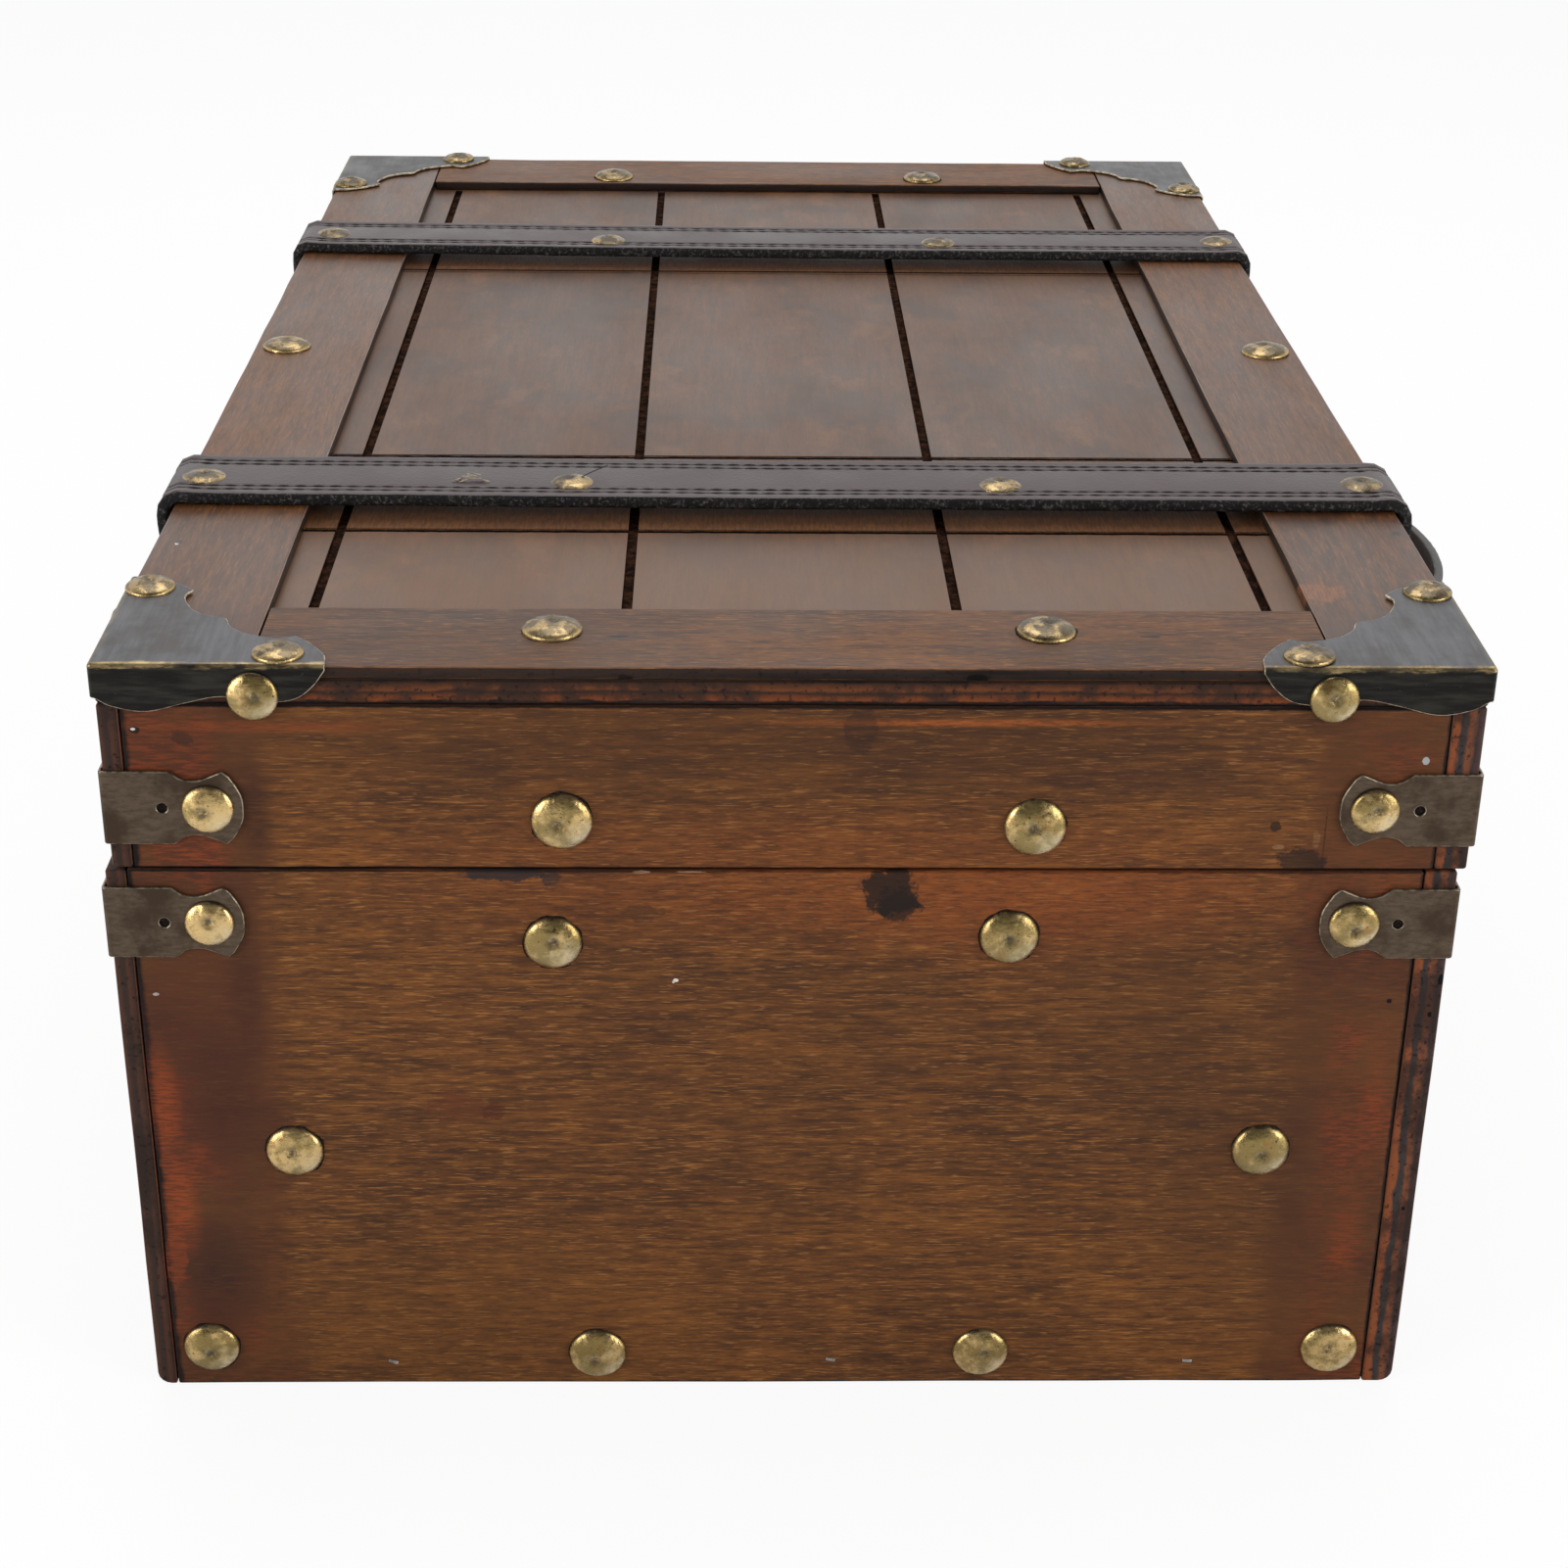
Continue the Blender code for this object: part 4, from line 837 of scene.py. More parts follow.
LID_END_SPOTS = near_end_spots(
    (-0.0100, 0.1590, 0.1250, 0.0120, (0.220, 0.062, 0.016), 0.30),
    (0.0100, 0.1880, 0.1500, 0.0130, DARK_WOOD, 0.55),
    (-0.0440, 0.1940, 0.0450, 0.0010, (0.330, 0.085, 0.020), 0.60),
    (0.1250, 0.1925, 0.0330, 0.0016, (0.200, 0.046, 0.014), 0.50),
    (-0.0900, 0.1780, 0.0300, 0.0050, (0.036, 0.016, 0.011), 0.45),
    (-0.0178, 0.1925, 0.0040, 0.0060, (0.035, 0.016, 0.011), 0.55),
    (0.1275, 0.1690, 0.0050, 0.0150, (0.035, 0.015, 0.010), 0.60),
    (-0.1200, 0.1611, 0.0016, 0.0007, (0.300, 0.170, 0.080), 0.35),
    (-0.1292, 0.1632, 0.0010, 0.0024, (0.300, 0.170, 0.080), 0.22),
    (-0.1258, 0.1578, 0.0060, 0.0030, STAIN, 0.72),
    (-0.1190, 0.1666, 0.0014, 0.0014, STAIN, 0.75),
    (-0.1312, 0.1640, 0.0002, 0.0090, (0.016, 0.009, 0.007), 0.55),
    (-0.1537, 0.1844, 0.0009, 0.0010, (0.33, 0.34, 0.34), 0.9),
    (0.1435, 0.1893, 0.0022, 0.0020, (0.030, 0.016, 0.012), 0.60),
    (0.1546, 0.1914, 0.0014, 0.0010, (0.012, 0.009, 0.008), 0.9),
    (0.1549, 0.1917, 0.0006, 0.0004, (0.60, 0.55, 0.50), 0.9),
)
BASE_FRONT_SPOTS = [
    ((-END_X, -0.1642, 0.1240), (0.0010, 0.0009, 0.0015), (0.004, 0.003, 0.003), 1.0),
    ((-END_X, -0.1625, 0.1140), (0.0010, 0.0006, 0.0009), (0.004, 0.003, 0.003), 1.0),
    ((-END_X, -0.1622, 0.0555), (0.0010, 0.0007, 0.0009), (0.004, 0.003, 0.003), 1.0),
]
STRIP_SPOTS = {
    "lid_back_stile": [
        ((-0.1738, 0.1571, TOP), (0.0009, 0.0006, 0), (0.70, 0.66, 0.62), 1.0),
        ((-0.1728, 0.1566, TOP), (0.0014, 0.0010, 0), (0.012, 0.009, 0.008), 0.8),
        ((-0.1900, 0.1150, TOP), (0.0120, 0.0040, 0), (0.036, 0.018, 0.012), 0.45),
    ],
    "lid_front_stile": [
        ((-0.2040, -0.1320, TOP), (0.0060, 0.0110, 0), (0.280, 0.090, 0.024), 0.50),
        ((-0.2240, -0.1240, TOP), (0.0040, 0.0060, 0), (0.240, 0.066, 0.022), 0.45),
        ((-0.1626, -0.1640, TOP), (0.0016, 0.0010, 0), (0.012, 0.009, 0.008), 0.9),
        ((-0.1300, -0.1260, TOP), (0.0030, 0.0012, 0), (0.006, 0.005, 0.005), 0.9),
        ((-0.1520, -0.1420, TOP), (0.0060, 0.0100, 0), (0.036, 0.018, 0.012), 0.40),
    ],
    "lid_left_rail": [
        ((-END_X, 0.0385, TOP - 0.0030), (0, 0.0017, 0.0012), (0.003, 0.002, 0.002), 1.0),
        ((-END_X, -0.0450, TOP - 0.0026), (0, 0.0026, 0.0013), (0.003, 0.002, 0.002), 1.0),
        ((-END_X, -0.0480, TOP - 0.0010), (0, 0.0150, 0.0006), (0.010, 0.007, 0.006), 0.9),
        ((-0.2350, 0.0412, TOP), (0.0008, 0.0026, 0), (0.010, 0.007, 0.006), 1.0),
        ((-0.2334, -0.0600, TOP), (0.0008, 0.0020, 0), (0.010, 0.007, 0.006), 1.0),
        ((-0.2340, -0.0880, TOP), (0.0006, 0.0024, 0), (0.020, 0.013, 0.010), 0.9),
        ((-0.2450, 0.0750, TOP), (0, 0.0550, 0.0070), (0.045, 0.025, 0.017), 0.30),
        ((-0.2440, -0.0750, TOP), (0.0080, 0.0350, 0), (0.045, 0.025, 0.017), 0.40),
    ],
}


def make_walls():
    """The four walls of the base and of the lid, and the bottom."""
    base_front = -HALF_WIDTH
    base_back = HALF_WIDTH
    rows = {
        "base": (base_front, base_back, 0.0, SEAM, 0.0035),
        "lid": (LID_FRONT, LID_BACK, LID_LOW, LID_WALL_TOP, 0.0008),
    }
    for part, (front, back, low, high, worn) in rows.items():
        seam = high if part == "base" else low
        other = low if part == "base" else high
        for face, side, outer, inner, layers in (
            ("front", -1, front, front + FRONT_BOARD, FRONT_PLIES),
            ("back", 1, back, back - BACK_BOARD, BACK_PLIES),
        ):
            node = f"{part}_{face}_board"
            finish = wood(f"wood_{node}", "X", "Y", inner, outer, layers, shift=side * 0.37 + high,
                          sides=("X", 0, 0.20, 0.25), lines=[("Z", seam, 0.0007)],
                          spots=BASE_FRONT_SPOTS if node == "base_front_board" else ())
            outline = wall_outline(side, outer, inner, low, high, worn)
            board(node + "_wood", outline, "X", -END_X, END_X, finish, part, node, seed=side + high)
        for end, side in ENDS.items():
            node = f"{part}_{end}_board"
            finish = wood(
                f"wood_{node}", "Y", "X", side * (END_X - END_BOARD), side * END_X, BACK_PLIES,
                shift=side * 0.21 + (0.5 if part == "lid" else 0.0),
                sides=("Y", (front + back) / 2, 0.122, 0.140), specular=0.11, crisp=0.72,
                lines=[("Z", seam, 0.0003), ("Z", other, 0.0005), ("Y", front + FRONT_BOARD, 0.0007),
                       ("Y", back - BACK_BOARD, 0.0012)],
                spots=(END_SPOTS if part == "base" else LID_END_SPOTS) if end == "left" else (),
            )
            outline = rectangle(front + FRONT_BOARD + GAP, back - BACK_BOARD - GAP, low, high)
            span = sorted((side * (END_X - END_BOARD), side * END_X))
            board(node + "_wood", outline, "X", *span, finish, part, node, seed=side * 2 + high)
    inside_x = END_X - END_BOARD - GAP
    low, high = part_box("base_bottom_board")
    finish = wood("wood_bottom", "X", "Z", low.z, high.z, FRONT_PLIES, shift=0.9)
    outline = rectangle(-inside_x, inside_x, low.y, high.y)
    board("base_bottom_board_wood", outline, "Z", low.z, high.z, finish, "base", "base_bottom_board")


def make_wall_studs():
    """Studs in the bare wood of the walls. The near end has them where the photograph does."""
    for face, side in FACES.items():
        places = []
        for x, z in BASE_SIDE_STUDS:
            for end in (-1, 1):
                shift = noise.noise(Vector((x * end * 90, z * 70, side))) * SIDE_STUD_WANDER
                places.append(((end * x + shift, side * HALF_WIDTH, z + shift), (0, side, 0)))
        make_studs(f"studs_base_{face}", places, "base", STUD_RADIUS)
        outer = LID_FRONT if side < 0 else LID_BACK
        up = LID_LOW + LID_SIDE_STUD_UP
        places = [((end * LID_SIDE_STUD_OUT, outer, up), (0, side, 0)) for end in (-1, 1)]
        make_studs(f"studs_lid_{face}", places, "lid", STUD_RADIUS)
    for end, side in ENDS.items():
        places = [((side * END_X, y, z), (side, 0, 0)) for y, z in BASE_END_STUDS]
        make_studs(f"studs_base_{end}", places, "base", STUD_RADIUS)
        names = (f"stud_lid_{end}_back", f"stud_lid_{end}_front")
        places = [((side * END_X, y, z), (side, 0, 0)) for y, z in LID_END_STUDS]
        make_studs(f"studs_lid_{end}", places, "lid", STUD_RADIUS, names)


SCORED_STRIPS = ((-0.155, -0.095), (0.103, 0.162))
PANEL_ROUNDING = 0.00025


def make_panel_finish():
    """The grooved boards inside the frame: dulled veneer, scored strips, grooves whose floors are painted
    dark with dirt and painted shade, and layered edges.
    """
    made = Finish("wood_top_panel")
    colour, fibres, clouds = veneer(made, "X", 0.13, 0.25)
    patches = made.noise(30, None, 5, 0.65)
    colour = made.mixed(made.between(clouds, 0.30, 0.70, 0.35, 0.60), colour, (0.098, 0.054, 0.034))
    colour = made.over(colour, patches, 0.46, 0.64, (0.060, 0.038, 0.030), 0.60)
    worn = made.between(made.noise(26, made.stretched((1, 1.6, 1)), 5, 0.7), 0.54, 0.68, 0.0, 0.50)
    colour = made.mixed(worn, colour, (0.20, 0.088, 0.034))
    warm = made.between(made.axis("X"), -0.12, -0.20, 0.0, 0.45)
    colour = made.mixed(warm, colour, (0.195, 0.088, 0.034))
    ragged = made.times(made.minus(made.noise(260, None, 4, 0.7), 0.5), 0.0010)
    across = made.sums("ADD", made.axis("X"), ragged)
    rough_wood = made.mixed(made.between(fibres, 0.40, 0.62), (0.085, 0.038, 0.020), (0.210, 0.084, 0.028))
    above = made.sums("GREATER_THAN", made.axis("Z"), PANEL_LOW.z + 0.0010)
    dull = 0.0
    for low_x, high_x in SCORED_STRIPS:
        apart = made.apart(across, (low_x + high_x) / 2)
        half = (high_x - low_x) / 2
        strip = made.between(apart, half + 0.0003, half - 0.0003, 0.0, 0.6)
        dull = made.largest(made.times(strip, above), dull)
    colour = made.mixed(dull, colour, rough_wood)
    for x in [x for strip in SCORED_STRIPS for x in strip]:
        apart = made.apart(across, x)
        scored = made.times(made.between(apart, 0.0010, 0.0007), above)
        colour = made.mixed(scored, colour, (0.007, 0.004, 0.003))
        dull = made.largest(dull, scored)
    depth = made.between(made.axis("Z"), PANEL_HIGH.z - 0.0004, PANEL_HIGH.z - 0.00015)
    recess = made.minus(1.0, depth)
    inside_x = made.sums("LESS_THAN", made.sums("ABSOLUTE", made.axis("X")), END_X - 0.005)
    inside_y = made.sums("LESS_THAN", made.sums("ABSOLUTE", made.axis("Y")), HALF_WIDTH - 0.006)
    inside = made.times(inside_x, inside_y)
    # Floors of the grooves are painted near black: dirt, and painted shade in the recess.
    groove_dirt_and_shade = made.between(made.noise(300, None, 4, 0.7), 0.4, 0.65)
    groove_dirt_and_shade = made.mixed(groove_dirt_and_shade, (0.016, 0.010, 0.008), (0.070, 0.031, 0.018))
    sunk = made.times(made.times(recess, inside), above)
    colour = made.mixed(sunk, colour, groove_dirt_and_shade)
    upright = made.between(made.sums("ABSOLUTE", made.turned("Z")), 0.95, 0.75)
    wall = made.times(upright, made.minus(1.0, inside))
    colour = made.mixed(wall, colour, plies(made, "Z", PANEL_LOW.z, PANEL_HIGH.z, PANEL_PLIES))
    matt = made.largest(made.largest(sunk, dull), made.times(wall, 0.85))
    made.set(colour=colour, specular=made.times_plus(matt, -0.5, 0.5))
    made.set(roughness=made.between(clouds, 0.3, 0.75, 0.36, 0.52))
    made.bump(made.times_plus(fibres, 0.6, made.times(patches, 0.25)), 0.00012, 0.5)
    return made.material


def make_panel():
    panel = frame["nodes"]["lid_top_panel"]
    panel.material_slots[0].material = make_panel_finish()
    bevelled(panel, PANEL_ROUNDING, 2, 40)


def make_strips():
    """The frame of four flat strips on the panel."""
    for face, side in FACES.items():
        node = f"lid_{face}_stile"
        low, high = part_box(node)
        finish = wood(f"wood_{node}", "X", "Z", low.z, high.z, STRIP_PLIES, shift=side * 0.51,
                      sides=("X", 0, 0.21, 0.26), gloss=0.38, spots=STRIP_SPOTS[node], crisp=0.45,
                      arris=("Y", high.y if side < 0 else low.y))
        outline = rectangle(low.x, high.x, low.y, high.y)
        board(node + "_wood", outline, "Z", low.z, high.z, finish, "lid", node, seed=side * 3)
    for end, side in ENDS.items():
        node = f"lid_{end}_rail"
        low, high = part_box(node)
        finish = wood(f"wood_{node}", "Y", "Z", low.z, high.z, STRIP_PLIES, shift=side * 0.83, gloss=0.46,
                      specular=0.30, crisp=1.0, spots=STRIP_SPOTS.get(node, ()))
        outline = rectangle(low.x, high.x, low.y, high.y)
        board(node + "_wood", outline, "Z", low.z, high.z, finish, "lid", node, seed=side * 5)


def make_strip_studs():
    for name in ("stud_stile_front", "stud_stile_back", "stud_rail_left_front", "stud_rail_left_back",
                 "stud_rail_right_front", "stud_rail_right_back"):
        low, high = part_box(name)
        centre = (low + high) / 2
        if "rail_left" in name:
            centre += NEAR_RAIL_STUDS_OFF
        make_studs(name + "_head", [((centre.x, centre.y, TOP), (0, 0, 1))], "lid", STUD_RADIUS, [name])


# Corner plates and brackets

PLATE_REACH = 0.0545
PLATE_CUSP = 0.0272
PLATE_LOBE = ((0.0, 0.0), (0.0045, 0.0006), (0.0090, 0.0030), (0.0130, 0.0058), (0.0163, 0.0092))
PLATE_BITE = ((0.0163, 0.0092), (0.0150, 0.0122), (0.0153, 0.0152), (0.0168, 0.0192), (0.0188, 0.0226),
              (0.0226, 0.0257), (0.0264, 0.0268))
PLATE_STUD_IN = 0.0053
PLATE_END_STUD_ALONG = 0.0428
PLATE_SIDE_STUD_ALONG = 0.0465
PLATE_EDGE_STUD_ALONG = 0.0372
PLATE_EDGE_STUD_DOWN = 0.0070
PLATE_WAVE = ((0.0, 0.0078), (0.004, 0.0100), (0.012, 0.0113), (0.022, 0.0089), (0.030, 0.0074),
              (0.040, 0.0088), (0.047, 0.0080), (0.0515, 0.0047), (PLATE_REACH, 0.0006))
FOLD_STEPS = 5
BURR_WIDTH = 0.00026


def plate_top_outline():
    reach = PLATE_REACH
    lobe = curve_through([(a, reach - b) for a, b in PLATE_LOBE], 4)
    bite = curve_through([(a, reach - b) for a, b in PLATE_BITE], 4)
    half = lobe[:-1] + bite[:-1]
    other = [(b, a) for a, b in reversed(half)]
    corner = [(reach, 0.0), (0.0, 0.0), (0.0, reach)]
    return [*corner, *half[1:], (PLATE_CUSP, PLATE_CUSP), *other[:-1]]


def plate_edge_outline():
    lower = [(a, TOP - b) for a, b in curve_through(PLATE_WAVE, 5)]
    return [*lower, (PLATE_REACH, TOP), (0.0, TOP)]


def to_corner(obj, end, face, middle_y):
    """Moves a mesh, made with X and Y measured in from the corner's end and long side, to its place."""
    for vert in obj.data.vertices:
        along, across, height = vert.co
        vert.co = (end * (END_X - along), middle_y + face * (HALF_WIDTH - across), height)
    if end * face < 0:
        obj.data.flip_normals()


def bent_sheet(name, side, top, finishes, hole=None):
    """A sheet of metal bent round a corner: a leaf on each of two walls, and one on top if it has an outline.

    The outlines start and end at the folds, and the side's first and last points are on the upright fold. The
    hole's outline is cut through both leaves."""
    bm = bmesh.new()
    known = {}

    def add_face(points):
        corners = []
        for point in points:
            key = tuple(round(part, 6) for part in point)
            if key not in known:
                known[key] = bm.verts.new(point)
            if known[key] not in corners:
                corners.append(known[key])
        bm.faces.new(corners)

    low, high = side[0][1], side[-1][1]
    add_face([(-SHEET_OUT, a, z) for a, z in side])
    add_face([(a, -SHEET_OUT, z) for a, z in side])
    if top:
        reach = top[0][0]
        add_face([(a, b, high + SHEET_OUT) for a, b in top])
    turns = arc((0, 0), 1, 0, math.pi / 2, FOLD_STEPS)
    for (a, b), (c, d) in zip(turns, turns[1:]):
        a, b, c, d = (part * SHEET_OUT for part in (a, b, c, d))
        add_face([(-a, -b, low), (-c, -d, low), (-c, -d, high), (-a, -b, high)])
        if not top:
            continue
        add_face([(-a, 0, high + b), (-c, 0, high + d), (-c, reach, high + d), (-a, reach, high + b)])
        add_face([(0, -a, high + b), (0, -c, high + d), (reach, -c, high + d), (reach, -a, high + b)])
        for (e, f), (g, h) in zip(turns, turns[1:]):
            lower = [(-a * e, -a * f, high + b), (-a * g, -a * h, high + b)]
            add_face([*lower, (-c * g, -c * h, high + d), (-c * e, -c * f, high + d)])
    obj = as_object(name, bm, *finishes)
    if obj.data.polygons[0].normal.x > 0:
        obj.data.flip_normals()
    sheet = obj.modifiers.new("sheet", "SOLIDIFY")
    sheet.thickness = PLATE_SHEET
    sheet.offset = -1
    sheet.use_even_offset = True
    sheet.material_offset_rim = 1
    apply_modifiers(obj)
    if hole:
        for axis in "XY":
            cut(obj, hole, axis, -2 * SHEET_OUT, 0)
    obj.data.shade_smooth()
    obj.data.set_sharp_from_angle(angle=math.radians(50))
    bevelled(obj, BURR_WIDTH, 2, 60).material = 1
    with_flat_faces(obj)
    return obj


def make_corner_plates():
    for end, end_side in ENDS.items():
        for face, face_side in FACES.items():
            node = f"lid_corner_plate_{face}_{end}"
            finishes = (PLATE_METAL, PLATE_EDGE)
            plate = bent_sheet(node + "_sheet", plate_edge_outline(), plate_top_outline(), finishes)
            to_corner(plate, end_side, face_side, LID_MIDDLE)
            attach(plate, "lid", "dark_metal", node)
            places = []
            for x_in, y_in, z, outward in (
                (PLATE_STUD_IN, PLATE_END_STUD_ALONG, TOP + SHEET_OUT, (0, 0, 1)),
                (PLATE_SIDE_STUD_ALONG, PLATE_STUD_IN, TOP + SHEET_OUT, (0, 0, 1)),
                (-SHEET_OUT, PLATE_EDGE_STUD_ALONG, TOP - PLATE_EDGE_STUD_DOWN, (end_side, 0, 0)),
                (PLATE_EDGE_STUD_ALONG, -SHEET_OUT, TOP - PLATE_EDGE_STUD_DOWN, (0, face_side, 0)),
            ):
                point = (end_side * (END_X - x_in), LID_MIDDLE + face_side * (HALF_WIDTH - y_in), z)
                places.append((point, outward))
            make_studs(f"studs_plate_{face}_{end}", places, "lid")


BRACKET_HALF = 0.00965
BRACKET_NECK = 0.0071
BRACKET_REACH = 0.033
BRACKET_STUD = 0.0245
BRACKET_HOLE = 0.0135
BRACKET_HOLE_RADIUS = 0.0013
BRACKET_SHADOW_RADIUS = 0.0017
LID_BRACKET_UP = 0.0165
BASE_BRACKET_DOWN = 0.0140


def bracket_outline(middle_z):
    """A leaf: straight from the corner, scalloped at the neck, with two ears and a curved tip."""
    full, neck, reach = BRACKET_HALF, BRACKET_NECK, BRACKET_REACH
    scallop = curve_through([(0.0180, neck + 0.0008), (0.0205, neck + 0.0001), (0.0232, neck + 0.0004),
                             (0.0262, neck + 0.0016), (0.0284, full)], 3)
    tip = curve_through([(0.0300, full * 0.86), (0.0318, full * 0.55), (reach - 0.0002, full * 0.28),
                         (reach, 0)], 3)
    half = [(0.0, full), (0.0158, full), *scallop, *tip]
    lower = [(a, -b) for a, b in half]
    return [(a, middle_z + b) for a, b in lower[:-1] + half[::-1]]


def make_bracket(part, middle_y, middle_z, end, face):
    node = f"{part}_bracket_{face}_{end}"
    end_side, face_side = ENDS[end], FACES[face]
    last_turn = math.tau * 15 / 16
    hole = arc((BRACKET_HOLE, middle_z), BRACKET_HOLE_RADIUS, 0, last_turn, 15)
    sheet = bent_sheet(node + "_sheet", bracket_outline(middle_z), None, (BRONZE, BRACKET_EDGE), hole)
    to_corner(sheet, end_side, face_side, middle_y)
    attach(sheet, part, "bronze_metal", node)
    x = end_side * (END_X - BRACKET_STUD)
    y = middle_y + face_side * (HALF_WIDTH - BRACKET_STUD)
    places = [
        ((end_side * (END_X + SHEET_OUT), y, middle_z), (end_side, 0, 0)),
        ((x, middle_y + face_side * (HALF_WIDTH + SHEET_OUT), middle_z), (0, face_side, 0)),
    ]
    make_studs(f"studs_bracket_{part}_{face}_{end}", places, part)
    bm = bmesh.new()
    ring = arc((BRACKET_HOLE, middle_z), BRACKET_SHADOW_RADIUS, 0, last_turn, 15)
    for axis in "XY":
        add_prism(bm, ring, axis, -GAP - 0.0001, -0.00005)
    dark = as_object(f"hole_shadow_{part}_{face}_{end}", bm, GRIME_AND_SHADE)
    to_corner(dark, end_side, face_side, middle_y)
    attach(dark, part, "stained_wood")


def make_brackets():
    parts = {"lid": (LID_MIDDLE, LID_LOW + LID_BRACKET_UP), "base": (0.0, SEAM - BASE_BRACKET_DOWN)}
    for part, (middle_y, middle_z) in parts.items():
        for end in ENDS:
            for face in FACES:
                make_bracket(part, middle_y, middle_z, end, face)


# Leather

STRAP_THICKNESS = 0.0027
STRAP_HALF = 0.0150
STRAP_STEP = 0.0020
BASE_STRAP_STEP = 0.0022
BASE_STRAP_STUDS = (0.022, 0.045)
STITCH_ROWS = (0.0040, 0.0068)
STITCH_LENGTH = 0.0040
STITCH_PITCH = 0.0047
STITCH_RADIUS = 0.00032
STITCH_SIDES = 6
STITCH_SUNK = 0.00022
STITCH_WANDER = 0.0001
BAND_ROUGHNESS = 0.00012
BAND_WANDER = 0.00045
BAND_CRUMB = 0.00022
FURROW_DEPTH = 0.00055
FURROW_LIP = 0.0007
EDGE_POINTS = 5
STRAP_TIP = 0.016
# The slot that the prong's heel passes through
SLOT_HALF = 0.0021
SLOT_BELOW = 0.0055
SLOT_ABOVE = 0.0015
FOLD_REACH = 0.0045
STRAP_SLIP = {"left": 0.0022, "right": 0.0045}
STRAP_SHIFT = {"left": 0.0026, "right": 0.0}
STRAP_STAND_OFF = {"left": 1.0, "right": 0.2}
# How the strap bends over the lid's edge: out from the edge, and up from the top
STRAP_BEND = ((-0.009, 0.0), (-0.005, 0.0001), (-0.0018, 0.0004), (0.0006, -0.0006), (0.0014, -0.0032),
              (0.0013, -0.0080), (0.0004, -0.0180))
STRAP_BACK_STUD_UP = 0.0195
STRAP_SPREAD = 0.0005
STRAP_SWELL = 0.0006
STRAP_STUDS = {"left": (0.157, 0.0565, -0.0606, -0.160), "right": (0.1537, 0.0560, -0.0608, -0.1603)}
STRAP_STUDS_OFF = {"left": (0.0022, 0.0042, 0.0042, 0.0022), "right": (0.0018, 0.0058, 0.0045, 0.0008)}


def resampled(points, step):
    """The same line with its points evenly spaced, and how far along it each one lies."""
    points = [Vector(p) for p in points]
    lengths = [0.0]
    for a, b in zip(points, points[1:]):
        lengths.append(lengths[-1] + (b - a).length)
    count = max(2, round(lengths[-1] / step))
    found = []
    k = 0
    for i in range(count + 1):
        at = lengths[-1] * i / count
        while k < len(points) - 2 and lengths[k + 1] < at:
            k += 1
        share = (at - lengths[k]) / max(lengths[k + 1] - lengths[k], 1e-9)
        found.append((points[k].lerp(points[k + 1], min(share, 1.0)), at))
    return found


def band_section(half, thick):
    """A leather band across its width: a flat middle, two stitched furrows near each side and a round rim.

    Each point is how far out and how high."""
    fit = min(1.0, half / STRAP_HALF)
    inner, outer = [half - row * fit for row in STITCH_ROWS[::-1]]
    lip = FURROW_LIP * fit
    side = [
        (0.0, thick), (inner - 0.0016 * fit, thick), (inner - lip, thick - 0.00006),
        (inner, thick - FURROW_DEPTH), (inner + lip, thick - 0.00010), (outer - lip, thick - 0.00010),
        (outer, thick - FURROW_DEPTH), (outer + lip, thick - 0.00004), (half - 0.0010 * fit, thick + 0.00006),
        (half - 0.0003 * fit, thick - 0.00010), (half, thick - 0.0005), (half + 0.0001, thick * 0.55),
        (half, thick * 0.25), (half - 0.0004 * fit, 0.0),
    ]
    left = [(-a, b) for a, b in reversed(side[1:])]
    return left + side


def outward_from(line, across, reach, away):
    """The way that a band's outer side faces, at each point of its line. Its middle faces roughly away."""
    found = []
    last = len(line) - 1
    for i in range(len(line)):
        along = line[min(i + reach, last)][0] - line[max(i - reach, 0)][0]
        found.append(along.normalized().cross(across).normalized())
    if found[len(found) // 2].dot(Vector(away)) < 0:
        found = [-out for out in found]
    return found


def sweep_band(name, line, outward, across, widths, depths, finishes, seed):
    """A leather band along a line of its inner face. Line, outward, widths and depths go point by point."""
    bm = bmesh.new()
    furrow_layer = bm.verts.layers.float.new("furrow_shade")
    rings = []
    for (point, at), out, half, thick in zip(line, outward, widths, depths):
        section = band_section(half, thick)
        ring = []
        for i, (a, b) in enumerate(section):
            rough = noise.noise(Vector((at * 160, i * 0.7, seed))) * BAND_ROUGHNESS
            wander = noise.noise(Vector((at * 22, seed, 0.0))) * BAND_WANDER
            edge = 1.0 if i < EDGE_POINTS or i >= len(section) - EDGE_POINTS else 0.3
            crumb = noise.noise(Vector((at * 600, i * 1.3, seed * 2))) * BAND_CRUMB * (edge > 0.5)
            vert = bm.verts.new(point + across * (a + wander + crumb) + out * (b + rough * edge))
            # Marks the bottoms of the stitch furrows, which the leather finish paints dark as shade.
            vert[furrow_layer] = float(abs(thick - b - FURROW_DEPTH) < 0.00003)
            ring.append(vert)
        rings.append(ring)
    count = len(rings[0])
    for i, made in join_rings(bm, rings):
        on_edge = i < EDGE_POINTS - 1 or i >= count - EDGE_POINTS
        made.material_index = 1 if on_edge and i != count - 1 else 0
    bm.faces.new(rings[0]).material_index = 1
    bm.faces.new(rings[-1]).material_index = 1
    return as_object(name, bm, *finishes, smooth=70)


def add_stitch(bm, start, end, out, radius):
    """One sunk stitch: a short thread that dips at both ends."""
    along = end - start
    side = along.normalized().cross(out)
    rings = []
    for share, size in ((0.0, 0.35), (0.2, 0.9), (0.5, 1.0), (0.8, 0.9), (1.0, 0.35)):
        centre = start + along * share + out * (radius * 0.7 * math.sin(math.pi * share) - radius * 0.4)
        ring = []
        for k in range(STITCH_SIDES):
            angle = math.tau * k / STITCH_SIDES
            offset = side * math.cos(angle) + out * math.sin(angle) * 0.8
            ring.append(bm.verts.new(centre + offset * radius * size))
        rings.append(ring)
    join_rings(bm, rings)
    bm.faces.new(rings[0])
    bm.faces.new(rings[-1])


